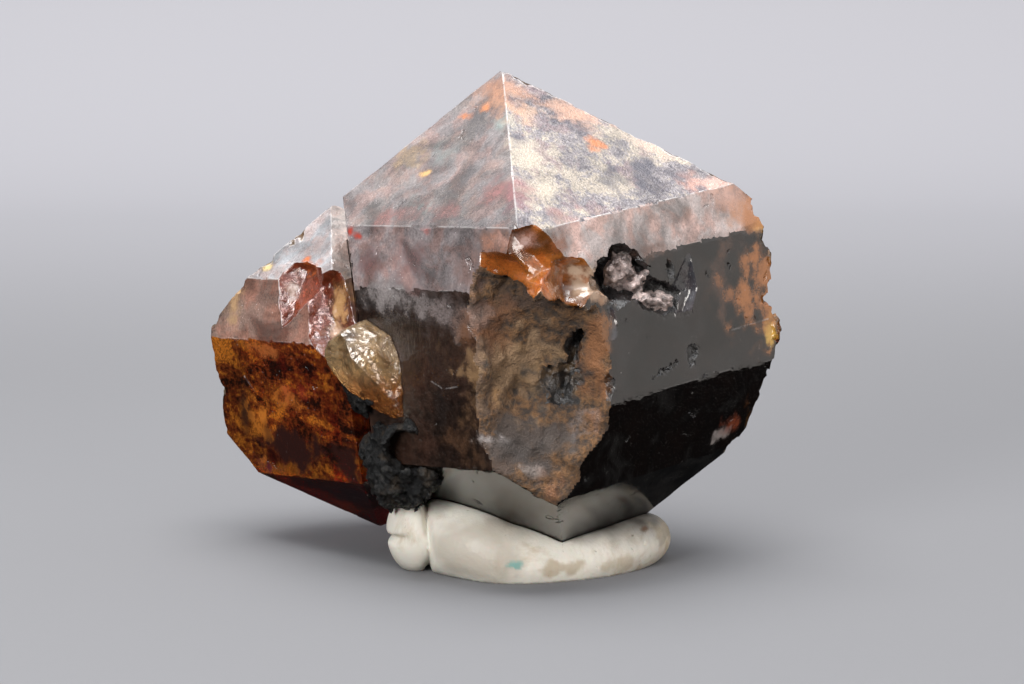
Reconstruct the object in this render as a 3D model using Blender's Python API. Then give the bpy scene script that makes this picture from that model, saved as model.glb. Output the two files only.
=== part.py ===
"""Zircon crystal with a smaller crystal grown to its side, standing on a pinched strip of mineral putty.

Zircon is tetragonal. Every flat face below is given by its form, the side it looks to and its
distance from the crystal's middle, and the angles follow from the mineral's axial ratio c/a.
Sizes are in millimetres and become metres as the shapes are made. +Z is up and the front looks to -Y.
"""

import math

import bmesh
import bpy
from mathutils import Vector, noise

MM = 0.001
AXIAL_RATIO = 0.901
GAP = 0.3

# The stand point is on the table under the big crystal's middle. The origin is under the whole
# object's middle. Both crystals lean to the left, the smaller one a little more.
STAND_POINT = (2.4, -0.26, 0.0)
MAIN_MIDDLE = (0.0, 0.0, 12.7)
MAIN_TURN = (0, -6.3, 0)
SIDE_MIDDLE = (-9.65, 4.72, 9.64)
SIDE_TURN = (2.2, -8.3, -2.3)

# Forms of zircon: how many times steeper than the pyramid {101}; a prism is upright
PYRAMID = 1.0
MIDDLE = 3.0
SIDE_STEEP = 4.0
STEEP = 5.5
PRISM = None

# Sides that a face looks to, in degrees from the front, positive to the right
FRONT_LEFT, FRONT_RIGHT, BACK_RIGHT, BACK_LEFT = -45, 45, 135, -135
LEFT, BACK = -86, 180

# One face a line: form, side, +1 upper or -1 lower, distance from the middle
MAIN_FACES = [
    (PYRAMID, FRONT_LEFT, 1, 10.25),
    (PYRAMID, FRONT_RIGHT, 1, 10.05),
    (PYRAMID, BACK_RIGHT, 1, 10.0),
    (PYRAMID, BACK_LEFT, 1, 10.3),
    (STEEP, FRONT_LEFT, 1, 9.09),
    (STEEP, FRONT_RIGHT, 1, 9.05),
    (STEEP, BACK_RIGHT, 1, 9.9),
    (STEEP, BACK_LEFT, 1, 9.4),
    (PRISM, FRONT_LEFT, 1, 8.57),
    (PRISM, FRONT_RIGHT, 1, 8.44),
    (PRISM, BACK_RIGHT, 1, 9.5),
    (PRISM, BACK_LEFT, 1, 8.9),
    (PRISM, LEFT, 1, 9.25),
    (PRISM, BACK, 1, 11.2),
    (MIDDLE, FRONT_RIGHT, -1, 9.0),
    (MIDDLE, BACK_RIGHT, -1, 9.7),
    (MIDDLE, BACK_LEFT, -1, 9.5),
    (PYRAMID, FRONT_LEFT, -1, 10.0),
    (PYRAMID, FRONT_RIGHT, -1, 10.2),
    (PYRAMID, BACK_RIGHT, -1, 10.25),
    (PYRAMID, BACK_LEFT, -1, 10.1),
]
MAIN_BLUNT_TIP = 11.9

SIDE_FACES = [
    (PYRAMID, FRONT_LEFT, 1, 6.69),
    (PYRAMID, FRONT_RIGHT, 1, 6.69),
    (PYRAMID, BACK_RIGHT, 1, 6.9),
    (PYRAMID, BACK_LEFT, 1, 6.69),
    (SIDE_STEEP, FRONT_LEFT, 1, 5.0),
    (SIDE_STEEP, FRONT_RIGHT, 1, 5.05),
    (SIDE_STEEP, BACK_RIGHT, 1, 6.1),
    (PRISM, FRONT_LEFT, 1, 4.48),
    (PRISM, FRONT_RIGHT, 1, 4.6),
    (PRISM, BACK_RIGHT, 1, 5.6),
    (PRISM, BACK_LEFT, 1, 6.5),
    (PRISM, BACK, 1, 6.2),
    (PYRAMID, FRONT_LEFT, -1, 6.68),
    (PYRAMID, FRONT_RIGHT, -1, 6.7),
    (PYRAMID, BACK_RIGHT, -1, 6.7),
    (PYRAMID, BACK_LEFT, -1, 6.5),
]
SIDE_BLUNT_TIP = 8.8

# Broken hollows cut into the crystal: name, frame, middle, half sizes, turn, roughness, fineness
BITES = [
    ("front_hollow", "main", (0.1, -12.9, -1.3), (5.2, 5.5, 6.5), (0, 8, 0), 0.06, 5),
    ("front_ledge", "main", (1.3, -12.3, 4.5), (3.6, 3.2, 2.2), (25, 24, 0), 0.1, 4),
    ("face_pit", "main", (5.2, -7.5, 3.0), (2.3, 2.2, 1.7), (0, 25, 45), 0.14, 4),
    ("face_pit_tail", "main", (7.0, -5.4, 1.9), (1.7, 0.9, 0.7), (0, 40, 45), 0.14, 3),
    ("edge_notch_top", "main", (12.9, 1.5, 5.2), (1.1, 1.5, 0.9), (0, 0, 0), 0.15, 3),
    ("edge_notch_upper", "main", (13.4, 1.0, 3.2), (1.3, 1.9, 0.7), (0, 0, 0), 0.15, 3),
    ("edge_notch_middle", "main", (13.5, 0.9, 0.2), (1.4, 2.1, 1.0), (0, 0, 0), 0.15, 3),
    ("edge_notch_lower", "main", (12.9, 0.8, -4.9), (1.4, 2.1, 1.6), (0, 0, 0), 0.15, 3),
    ("corner_break", "main", (10.7, -0.2, -8.2), (1.5, 1.9, 1.3), (0, 0, 0), 0.15, 3),
    ("side_front_break", "side", (-1.0, -6.2, 4.8), (2.6, 2.3, 3.0), (0, 15, 0), 0.14, 4),
    ("side_edge_chip", "side", (-7.2, 0.6, 4.6), (1.1, 1.4, 0.9), (0, 30, 0), 0.2, 3),
    ("side_rim_chip", "side", (-8.4, 1.2, 0.2), (0.9, 1.4, 1.3), (0, 0, 0), 0.2, 3),
]

# Dark matrix grown in the groove, the hole in it, and the amber-coloured chip above it
MATRIX = [
    ("matrix_body", (-7.8, -2.9, -5.7), (1.9, 2.0, 2.5), (0, 10, 0), 0.2, 4),
    ("matrix_foot", (-7.35, -2.5, -8.1), (1.05, 1.6, 1.3), (0, 0, 0), 0.18, 3),
    ("matrix_tongue", (-8.9, -2.4, -2.2), (1.0, 1.5, 1.7), (0, -30, 0), 0.18, 3),
]
MATRIX_HOLE = ("matrix_hole", (-7.7, -5.0, -5.2), (1.1, 2.2, 1.1), (0, 10, 0), 0.14, 3)
CHIP = ("amber_chip", (-8.25, -3.85, -0.5), (1.3, 0.95, 2.0), (0, -32, 0), 0.17, 3)

# Putty: the roll's middle line and its half thickness, from its left end round the front to the right
ROLL = [
    (-5.7, 1.3, 1.3, 1.6),
    (-4.8, -1.3, 1.8, 2.1),
    (-3.5, -2.9, 1.6, 2.0),
    (-1.5, -4.0, 1.1, 1.8),
    (1.1, -3.5, 0.7, 1.6),
    (3.5, -2.3, 0.8, 1.5),
    (5.6, -0.2, 1.2, 1.45),
    (6.1, 2.0, 1.0, 1.1),
]
KNUCKLE = ("putty_knuckle", (-6.4, -1.1, 1.6), (1.4, 2.2, 1.9), (0, 0, 15), 0.02, 3)
PAD = ("putty_pad", (0.0, 0.3, 0.2), (5.9, 4.2, 2.0), (0, 0, 0), 0.03, 4)


def clear_scene():
    for item in list(bpy.data.objects):
        bpy.data.objects.remove(item)


def new_collection(name):
    group = bpy.data.collections.new(name)
    bpy.context.scene.collection.children.link(group)
    return group


def new_object(name, mesh, group, parent, location=(0, 0, 0), turn=(0, 0, 0)):
    """An object at a place in millimetres and a turn in degrees, both in its parent's frame."""
    item = bpy.data.objects.new(name, mesh)
    group.objects.link(item)
    item.parent = parent
    item.location = Vector(location) * MM
    item.rotation_mode = "ZXY"
    item.rotation_euler = [math.radians(angle) for angle in turn]
    return item


def hide_cutter(item):
    item.hide_render = True
    item.display_type = "WIRE"


def outward(form, side, half):
    """The outward normal of a face. The pyramid {101} leans from the base plane by atan(c/a)."""
    tilt = math.pi / 2 if form is PRISM else math.atan(form * AXIAL_RATIO)
    around = math.radians(side)
    return Vector((
        math.sin(tilt) * math.sin(around),
        -math.sin(tilt) * math.cos(around),
        half * math.cos(tilt),
    ))


def crystal_mesh(name, faces, blunt_tip, grow=0.0):
    """A block cut down face by face, as far as each face's distance from the middle."""
    mesh = bpy.data.meshes.new(name)
    shape = bmesh.new()
    bmesh.ops.create_cube(shape, size=40 * MM)
    cuts = [(outward(*face[:3]), face[3]) for face in faces]
    cuts.append((Vector((0, 0, -1)), blunt_tip))
    for normal, distance in cuts:
        cut = bmesh.ops.bisect_plane(
            shape,
            geom=shape.verts[:] + shape.edges[:] + shape.faces[:],
            dist=1e-7,
            plane_co=normal * (distance + grow) * MM,
            plane_no=normal,
            clear_outer=True,
        )
        rim = [part for part in cut["geom_cut"] if isinstance(part, bmesh.types.BMEdge)]
        if rim:
            bmesh.ops.contextual_create(shape, geom=rim)
    bmesh.ops.recalc_face_normals(shape, faces=shape.faces[:])
    shape.to_mesh(mesh)
    shape.free()
    return mesh


def rough_ball(name, half_sizes, roughness, fineness, grow=0.0):
    """A closed ball with the half sizes given, made uneven by a few octaves of noise."""
    mesh = bpy.data.meshes.new(name)
    shape = bmesh.new()
    bmesh.ops.create_icosphere(shape, subdivisions=fineness, radius=1.0)
    shift = Vector((len(name) * 1.7, ord(name[0]) * 0.31, ord(name[-1]) * 0.23))
    for vert in shape.verts:
        swell = 1 + roughness * 2 * noise.fractal(vert.co * 1.9 + shift, 0.7, 2.1, 3)
        vert.co = [(half * swell * part + grow * part) * MM for half, part in zip(half_sizes, vert.co)]
    shape.to_mesh(mesh)
    shape.free()
    return mesh


def boolean(target, tool, operation):
    step = target.modifiers.new(tool.name, "BOOLEAN")
    step.operation = operation
    step.object = tool
    step.solver = "EXACT"


def material(name, colour, roughness, transmission=0.0):
    made = bpy.data.materials.new(name)
    made.use_nodes = True
    shader = made.node_tree.nodes["Principled BSDF"]
    shader.inputs["Base Color"].default_value = (*colour, 1)
    shader.inputs["Roughness"].default_value = roughness
    shader.inputs["Metallic"].default_value = 0.0
    shader.inputs["IOR"].default_value = 1.93 if transmission else 1.5
    shader.inputs["Transmission Weight"].default_value = transmission
    return made


def make_crystal(parts, cutters, frames):
    """Both crystals, the matrix in the groove and the amber chip as one solid with its breaks cut in."""
    main = new_object("zircon_crystal", crystal_mesh("main_crystal", MAIN_FACES, MAIN_BLUNT_TIP),
                      parts, frames["main"])
    side = new_object("side_crystal", crystal_mesh("side_crystal", SIDE_FACES, SIDE_BLUNT_TIP),
                      cutters, frames["side"])
    hide_cutter(side)
    breaks = {"main": [], "side": []}
    for name, frame, middle, half_sizes, turn, roughness, fineness in BITES:
        bite = new_object(name, rough_ball(name, half_sizes, roughness, fineness),
                          cutters, frames[frame], middle, turn)
        hide_cutter(bite)
        breaks[frame].append(bite)
    for bite in breaks["side"]:
        boolean(side, bite, "DIFFERENCE")
    for bite in breaks["main"]:
        boolean(main, bite, "DIFFERENCE")
    boolean(main, side, "UNION")
    for lumps, operation in ((MATRIX, "UNION"), ([MATRIX_HOLE], "DIFFERENCE"), ([CHIP], "UNION")):
        for name, middle, half_sizes, turn, roughness, fineness in lumps:
            lump = new_object(name, rough_ball(name, half_sizes, roughness, fineness),
                              cutters, frames["main"], middle, turn)
            hide_cutter(lump)
            boolean(main, lump, operation)
    return main


def roll_mesh():
    """The bent putty roll: a smooth tube through the points, with round ends."""
    line = bpy.data.curves.new("putty_roll", "CURVE")
    line.dimensions = "3D"
    line.bevel_depth = 1.0
    line.bevel_resolution = 4
    line.use_fill_caps = True
    line.resolution_u = 4
    spline = line.splines.new("BEZIER")
    spline.bezier_points.add(len(ROLL) - 1)
    for point, (x, y, z, thickness) in zip(spline.bezier_points, ROLL):
        point.co = (x * MM, y * MM, z * MM)
        point.radius = thickness * MM
        point.handle_left_type = point.handle_right_type = "AUTO"
    holder = bpy.data.objects.new("putty_roll", line)
    bpy.context.scene.collection.objects.link(holder)
    bpy.context.view_layer.update()
    seen = holder.evaluated_get(bpy.context.evaluated_depsgraph_get())
    mesh = bpy.data.meshes.new_from_object(seen)
    bpy.data.objects.remove(holder)
    shape = bmesh.new()
    shape.from_mesh(mesh)
    bmesh.ops.remove_doubles(shape, verts=shape.verts[:], dist=1e-6)
    bmesh.ops.recalc_face_normals(shape, faces=shape.faces[:])
    shape.to_mesh(mesh)
    shape.free()
    return mesh


def make_putty(parts, cutters, frames, stand):
    """The roll, its pinched left knuckle and the pad under the tip, flat below and pressed to the crystal."""
    putty = new_object("putty_rest", roll_mesh(), parts, stand)
    for name, middle, half_sizes, turn, roughness, fineness in (KNUCKLE, PAD):
        lump = new_object(name, rough_ball(name, half_sizes, roughness, fineness),
                          cutters, stand, middle, turn)
        hide_cutter(lump)
        boolean(putty, lump, "UNION")
    table = bpy.data.meshes.new("below_the_table")
    block = bmesh.new()
    bmesh.ops.create_cube(block, size=40 * MM)
    block.to_mesh(table)
    block.free()
    below = new_object("below_the_table", table, cutters, stand, (0, 0, -20))
    hide_cutter(below)
    boolean(putty, below, "DIFFERENCE")
    pressed = [
        ("main_print", crystal_mesh("main_print", MAIN_FACES, MAIN_BLUNT_TIP, GAP), "main", (0, 0, 0), (0, 0, 0)),
        ("side_print", crystal_mesh("side_print", SIDE_FACES, SIDE_BLUNT_TIP, GAP), "side", (0, 0, 0), (0, 0, 0)),
    ]
    for name, middle, half_sizes, turn, roughness, fineness in MATRIX:
        shape = rough_ball(name, half_sizes, roughness, fineness, GAP)
        pressed.append((name + "_print", shape, "main", middle, turn))
    for name, mesh, frame, middle, turn in pressed:
        tool = new_object(name, mesh, cutters, frames[frame], middle, turn)
        hide_cutter(tool)
        boolean(putty, tool, "DIFFERENCE")
    return putty


def build():
    clear_scene()
    parts = new_collection("zircon specimen")
    cutters = new_collection("cutters")
    stand = new_object("stand", None, parts, None, STAND_POINT)
    main_frame = new_object("main_frame", None, parts, stand, MAIN_MIDDLE, MAIN_TURN)
    side_frame = new_object("side_frame", None, parts, stand, SIDE_MIDDLE, SIDE_TURN)
    frames = {"main": main_frame, "side": side_frame}
    crystal = make_crystal(parts, cutters, frames)
    crystal.data.materials.append(material("zircon", (0.16, 0.045, 0.02), 0.15, 0.8))
    putty = make_putty(parts, cutters, frames, stand)
    putty.data.materials.append(material("mineral_putty", (0.8, 0.77, 0.7), 0.5))


build()
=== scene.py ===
"""Looks of the zircon specimen: two see-through crystals grown together, the dark matrix and the
amber-coloured chip between them, and the strip of mineral putty that holds them up.

Every stone is described by distances in millimetres, below 0 inside, and is then turned into a mesh
whose vertices sit on its true edges. The flat faces follow from the crystal forms, as in the part's
source, and so do the places of the breaks, the matrix and the putty. +Z is up, the front looks to -Y.
"""

import math

import bpy
import numpy as np
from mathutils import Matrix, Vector

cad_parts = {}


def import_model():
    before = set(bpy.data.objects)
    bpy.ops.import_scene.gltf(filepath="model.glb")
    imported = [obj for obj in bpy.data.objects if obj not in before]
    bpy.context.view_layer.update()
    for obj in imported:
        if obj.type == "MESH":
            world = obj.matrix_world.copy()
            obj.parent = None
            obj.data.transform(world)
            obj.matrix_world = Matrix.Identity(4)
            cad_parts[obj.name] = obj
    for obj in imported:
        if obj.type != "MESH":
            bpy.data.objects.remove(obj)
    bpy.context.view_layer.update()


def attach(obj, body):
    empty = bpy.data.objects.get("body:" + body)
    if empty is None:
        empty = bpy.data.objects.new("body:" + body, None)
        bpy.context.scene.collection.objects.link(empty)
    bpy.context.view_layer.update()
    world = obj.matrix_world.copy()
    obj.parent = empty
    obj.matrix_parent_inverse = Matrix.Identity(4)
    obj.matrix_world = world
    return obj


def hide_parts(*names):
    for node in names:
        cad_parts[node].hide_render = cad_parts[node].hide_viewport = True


MM = 0.001

# Sizes repeated from the part's source
AXIAL_RATIO = 0.901
STAND_POINT = (2.4, -0.26, 0.0)
MAIN_MIDDLE = (0.0, 0.0, 12.7)
MAIN_TURN = (0, -6.3, 0)
SIDE_MIDDLE = (-9.65, 4.72, 9.64)
SIDE_TURN = (2.2, -8.3, -2.3)

PYRAMID, MIDDLE, SIDE_STEEP, STEEP, PRISM = 1.0, 3.0, 4.0, 5.5, None

# Face names: P upper pyramid, S steep band below it, A upright prism, T lower middle, Q lower pyramid,
# followed by the side that the face looks to. Each side, in degrees round from the front:
SIDES = {"1": -45, "2": 45, "3": 135, "4": -135, "L": -86, "B": 180}
# One form a line: letter, steepness, +1 upper or -1 lower, and each face's distance from the middle
MAIN_FACES = [
    ("P", PYRAMID, 1, {"1": 10.25, "2": 10.05, "3": 10.0, "4": 10.3}),
    ("S", STEEP, 1, {"1": 9.09, "2": 9.05, "3": 9.9, "4": 9.4}),
    ("A", PRISM, 1, {"1": 8.57, "2": 8.44, "3": 9.5, "4": 8.9, "L": 9.25, "B": 11.2}),
    ("T", MIDDLE, -1, {"2": 9.0, "3": 9.7, "4": 9.5}),
    ("Q", PYRAMID, -1, {"1": 10.0, "2": 10.2, "3": 10.25, "4": 10.1}),
]
MAIN_BLUNT_TIP = 11.9
SIDE_FACES = [
    ("P", PYRAMID, 1, {"1": 6.69, "2": 6.69, "3": 6.9, "4": 6.69}),
    ("S", SIDE_STEEP, 1, {"1": 5.0, "2": 5.05, "3": 6.1}),
    ("A", PRISM, 1, {"1": 4.48, "2": 4.6, "3": 5.6, "4": 6.5, "B": 6.2}),
    ("Q", PYRAMID, -1, {"1": 6.68, "2": 6.7, "3": 6.7, "4": 6.5}),
]
SIDE_BLUNT_TIP = 8.8

# Breaks: crystal, finish, middle and half sizes in its frame, turn, roughness, ripple, ripple size.
# The many-sided ones, of the finishes in FACETED, have no roughness of their own and half the ripple.
FACETED = ("ledge", "break", "dent")
SHARD_SIDES, SHARD_SIZE = 24, 0.92
BREAKS = [
    ("main", "hollow", (0.4, -12.9, -1.5), (4.9, 5.5, 6.4), (0, 8, 0), 0.06, 0.3, 1.6),
    ("main", "hollow", (-1.3, -12.3, 2.7), (2.3, 4.0, 3.0), (0, 0, 0), 0.08, 0.2, 1.2),
    ("main", "hollow", (0.3, -11.7, -6.2), (2.6, 3.2, 2.5), (0, -10, 0), 0.1, 0.2, 0.9),
    ("main", "cavity", (1.0, -7.9, -1.8), (1.1, 1.2, 1.25), (0, 30, 0), 0.2, 0.25, 0.5),
    ("main", "cavity", (2.0, -7.5, 0.0), (0.45, 0.9, 1.2), (0, 25, 0), 0.25, 0.15, 0.5),
    ("main", "ledge", (-1.3, -11.3, 4.5), (2.4, 2.0, 1.1), (0, 28, -30), 0.12, 0.15, 0.9),
    ("main", "ledge", (0.6, -12.3, 5.1), (1.9, 2.7, 2.0), (0, 25, 0), 0.12, 0.18, 0.9),
    ("main", "ledge", (2.8, -10.6, 3.4), (2.1, 2.3, 1.5), (0, 30, 20), 0.12, 0.15, 0.8),
    ("main", "pit", (5.1, -7.4, 3.1), (2.2, 2.1, 1.6), (0, 25, 45), 0.14, 0.2, 0.8),
    ("main", "pit", (6.6, -5.5, 1.7), (2.4, 1.1, 0.8), (0, 33, 45), 0.14, 0.14, 0.6),
    ("main", "dent", (8.12, -4.07, 2.0), (0.95, 0.5, 1.7), (0, 20, 45), 0.05, 0.05, 0.9),
    ("main", "dent", (4.3, -8.3, 1.0), (0.7, 0.6, 1.5), (0, 5, 45), 0.2, 0.2, 0.5),
    ("main", "pit", (7.4, -4.75, 3.0), (0.35, 0.3, 0.55), (0, 20, 45), 0.2, 0.06, 0.3),
    ("main", "pit", (8.2, -4.15, -1.6), (0.55, 0.4, 0.6), (0, 20, 45), 0.2, 0.1, 0.3),
    ("main", "pit", (6.6, -5.75, -2.2), (1.2, 0.35, 0.3), (0, -20, 45), 0.25, 0.1, 0.3),
    ("main", "pit", (3.6, -8.5, -2.2), (0.4, 0.35, 0.7), (0, 10, 45), 0.25, 0.1, 0.3),
    ("main", "notch", (12.9, 1.5, 5.2), (1.1, 1.5, 0.9), (0, 0, 0), 0.15, 0.2, 0.7),
    ("main", "notch", (13.4, 1.0, 3.2), (1.3, 1.9, 0.7), (0, 0, 0), 0.15, 0.2, 0.7),
    ("main", "notch", (13.5, 0.9, 0.2), (1.4, 2.1, 1.0), (0, 0, 0), 0.15, 0.2, 0.7),
    ("main", "notch", (12.9, 0.8, -4.9), (1.4, 2.1, 1.6), (0, 0, 0), 0.15, 0.2, 0.7),
    ("main", "notch", (10.7, -0.2, -8.2), (1.5, 1.9, 1.3), (0, 0, 0), 0.15, 0.2, 0.7),
    ("side", "break", (-1.0, -6.2, 4.8), (2.5, 2.3, 3.2), (0, 15, 0), 0.12, 0.2, 0.8),
    ("side", "break", (-2.9, -3.7, 6.3), (2.5, 2.1, 1.6), (0, 25, 0), 0.15, 0.18, 0.7),
    ("side", "notch", (-8.4, 1.2, 0.2), (0.9, 1.4, 1.3), (0, 0, 0), 0.2, 0.2, 0.6),
]
# The hollow's slanting roof: height at the main crystal's middle, fall to the right
ROOF = (3.3, 0.52)
# Lumps grown or left on the main crystal: finish, middle, half sizes, turn, roughness, ripple, size
LUMPS = [
    ("grit", (4.5, -6.0, 3.4), (0.6, 0.7, 0.8), (0, 20, 0), 0.3, 0.25, 0.5),
    ("grit", (5.2, -5.7, 2.6), (0.7, 0.6, 0.5), (0, 0, 0), 0.3, 0.25, 0.4),
    ("grit", (6.1, -5.2, 1.5), (1.5, 0.6, 0.35), (0, 25, 45), 0.25, 0.2, 0.4),
    ("bead", (12.5, 1.4, 2.05), (0.32, 0.5, 0.62), (0, 0, 0), 0.12, 0.05, 0.4),
    ("bead", (12.55, 1.2, -1.8), (0.4, 0.6, 0.75), (0, 0, 0), 0.15, 0.1, 0.4),
]
# The matrix in the groove and the chip above it, in the main crystal's frame
MATRIX = [
    ((-7.8, -2.9, -5.7), (1.9, 2.0, 2.5), (0, 10, 0)),
    ((-7.0, -4.3, -5.4), (1.6, 1.5, 2.0), (0, 0, 0)),
    ((-7.3, -1.9, -7.3), (1.2, 1.3, 1.1), (0, 0, 0)),
    ((-8.9, -2.4, -2.2), (1.0, 1.5, 1.7), (0, -30, 0)),
]
MATRIX_HOLE = ((-7.3, -6.0, -4.9), (1.15, 2.6, 1.05), (0, 20, 0))
CHIP = ((-8.3, -4.2, -0.35), (1.65, 1.3, 2.6), (0, -42, 0))
# Putty: middle line and half thickness from the left end round the front, in the stand point's frame
ROLL = [
    (-5.7, 1.3, 1.3, 1.6),
    (-4.8, -1.3, 1.8, 2.1),
    (-3.5, -2.9, 1.6, 2.0),
    (-1.5, -4.0, 1.1, 1.8),
    (1.1, -3.5, 0.7, 1.6),
    (3.5, -2.3, 0.8, 1.5),
    (5.6, -0.2, 1.2, 1.45),
    (6.1, 2.0, 1.0, 1.1),
]
KNUCKLE = ((-6.4, -1.4, 1.9), (1.4, 2.2, 2.1), (0, 0, 15))
PAD = ((0.0, 0.3, 0.2), (5.9, 4.2, 2.0), (0, 0, 0))
CREASE, LOBES = -5.62, 1.85

# How far apart hollows still melt into one, and how wide the hollow's rim is rounded
HOLLOW_BLEND, HOLLOW_RIM = 1.0, 0.4
# Clearance between stones that touch, so that each stays closed and clear of the next
CONTACT_GAP = 0.04

# How each part of a surface looks: veil (share that is cloudy and not see-through), its tint, roughness,
# frost (cream and slate mottling on the main crystal; on the side crystal, orange-red body colour with
# painted inner glow) and grain (earthy, matte texture)
FINISHES = {
    "main P1": (0.64, (0.258, 0.214, 0.203), 0.26, 0.1, 0.0),
    "main P2": (0.92, (0.4, 0.34, 0.29), 0.5, 1.0, 0.15),
    "main P3": (0.8, (0.33, 0.27, 0.23), 0.45, 0.75, 0.1),
    "main P4": (0.6, (0.23, 0.18, 0.16), 0.3, 0.2, 0.0),
    "main S1": (0.62, (0.36, 0.292, 0.285), 0.24, 0.0, 0.0),
    "main S2": (0.75, (0.5, 0.4, 0.372), 0.28, 0.0, 0.0),
    "main S3": (0.5, (0.24, 0.2, 0.2), 0.25, 0.1, 0.0),
    "main S4": (0.45, (0.2, 0.16, 0.16), 0.22, 0.0, 0.0),
    "main A1": (0.42, (0.06, 0.032, 0.022), 0.2, 0.0, 0.45),
    "main A2": (0.22, (0.05, 0.044, 0.044), 0.1, 0.0, 0.0),
    "main A3": (0.25, (0.07, 0.05, 0.045), 0.15, 0.0, 0.05),
    "main A4": (0.3, (0.07, 0.055, 0.055), 0.18, 0.0, 0.1),
    "main AL": (0.15, (0.08, 0.025, 0.025), 0.12, 0.0, 0.0),
    "main AB": (0.25, (0.08, 0.06, 0.055), 0.16, 0.0, 0.05),
    "main T2": (0.12, (0.034, 0.021, 0.017), 0.1, 0.0, 0.25),
    "main T3": (0.12, (0.03, 0.022, 0.02), 0.13, 0.0, 0.05),
    "main T4": (0.12, (0.03, 0.022, 0.02), 0.13, 0.0, 0.05),
    "main Q1": (0.2, (0.03, 0.02, 0.012), 0.06, 0.0, 0.0),
    "main Q2": (0.1, (0.03, 0.028, 0.028), 0.06, 0.0, 0.0),
    "main Q3": (0.1, (0.03, 0.025, 0.022), 0.08, 0.0, 0.0),
    "main Q4": (0.1, (0.03, 0.025, 0.022), 0.08, 0.0, 0.0),
    "main tip": (0.3, (0.05, 0.04, 0.035), 0.3, 0.0, 0.2),
    "main cavity": (1.0, (0.014, 0.012, 0.011), 0.45, 0.0, 0.8),
    "main grit": (0.95, (0.48, 0.375, 0.345), 0.3, 0.0, 0.9),
    "main hollow": (0.97, (0.118, 0.054, 0.015), 0.9, 0.0, 1.0),
    "main ledge": (0.52, (0.64, 0.2, 0.04), 0.12, 0.0, 0.1),
    "main pit": (0.85, (0.02, 0.019, 0.019), 0.28, 0.0, 0.7),
    "main dent": (0.45, (0.09, 0.085, 0.095), 0.12, 0.0, 0.1),
    "main notch": (0.12, (0.45, 0.22, 0.06), 0.12, 0.0, 0.0),
    "main bead": (0.05, (0.6, 0.3, 0.06), 0.05, 0.0, 0.0),
    "side P1": (0.62, (0.47, 0.45, 0.455), 0.28, 0.0, 0.0),
    "side P2": (0.6, (0.42, 0.34, 0.3), 0.3, 0.2, 0.3),
    "side P3": (0.6, (0.44, 0.4, 0.4), 0.3, 0.2, 0.0),
    "side P4": (0.6, (0.44, 0.4, 0.4), 0.3, 0.1, 0.0),
    "side S1": (0.58, (0.34, 0.215, 0.17), 0.24, 0.0, 0.0),
    "side S2": (0.6, (0.25, 0.15, 0.11), 0.3, 0.0, 0.3),
    "side S3": (0.4, (0.25, 0.18, 0.17), 0.25, 0.0, 0.0),
    "side A1": (0.42, (0.16, 0.06, 0.025), 0.08, 1.0, 0.0),
    "side A2": (0.3, (0.25, 0.06, 0.02), 0.1, 1.0, 0.0),
    "side A3": (0.22, (0.16, 0.07, 0.03), 0.12, 1.0, 0.0),
    "side A4": (0.35, (0.06, 0.025, 0.012), 0.12, 0.6, 0.0),
    "side AB": (0.25, (0.16, 0.07, 0.03), 0.12, 1.0, 0.0),
    "side Q1": (0.3, (0.09, 0.008, 0.016), 0.06, 0.2, 0.0),
    "side Q2": (0.03, (0.06, 0.03, 0.02), 0.1, 0.0, 0.0),
    "side Q3": (0.03, (0.06, 0.03, 0.02), 0.1, 0.0, 0.0),
    "side Q4": (0.03, (0.06, 0.03, 0.02), 0.1, 0.0, 0.0),
    "side tip": (0.2, (0.08, 0.03, 0.02), 0.2, 0.0, 0.0),
    "side break": (0.42, (0.32, 0.065, 0.025), 0.12, 0.0, 0.4),
    "side notch": (0.2, (0.5, 0.3, 0.12), 0.15, 0.0, 0.0),
    "side joint": (0.3, (0.06, 0.025, 0.015), 0.3, 0.0, 0.2),
}
MAKERS = list(FINISHES)
# Finishes of broken or uneven spots, which are shaded smooth; the others are flat faces
UNEVEN = ("hollow", "cavity", "ledge", "pit", "dent", "grit", "notch", "bead", "break", "joint")

# Edges with a whitish worn line, and how strong it is
WORN_EDGES = {
    ("main P1", "main P2"): 0.6,
    ("main P1", "main S1"): 0.45,
    ("main P2", "main S2"): 0.75,
    ("main P1", "main P4"): 0.4,
    ("main P2", "main P3"): 0.4,
    ("main P3", "main S3"): 0.6,
    ("main P4", "main S4"): 0.6,
    ("main S1", "main A1"): 0.3,
    ("main S2", "main A2"): 0.25,
    ("main A2", "main T2"): 0.3,
    ("main ledge", "main hollow"): 0.2,
    ("main S2", "main ledge"): 0.3,
    ("side P1", "side S1"): 0.7,
    ("side P1", "side P2"): 0.55,
    ("side P1", "side P4"): 0.7,
    ("side S1", "side break"): 0.6,
    ("side P1", "side break"): 0.5,
    ("side A1", "side break"): 0.6,
    ("side S1", "side A1"): 0.15,
}

# Edges broken all along: the crystal's corner on the right and the side crystal's on the left
ROUGH_EDGES = {
    ("main A2", "main A3"): (0.1, 0.28),
    ("main S2", "main S3"): (0.35, 0.3),
    ("main T2", "main T3"): (0.05, 0.22),
    ("main P2", "main P3"): (0.05, 0.14),
    ("side P1", "side P4"): (0.1, 0.35),
    ("side S1", "side P4"): (0.05, 0.3),
    ("side A1", "side A4"): (0.02, 0.2),
}
FINE_WEAR = (0.012, 0.035)
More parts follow.
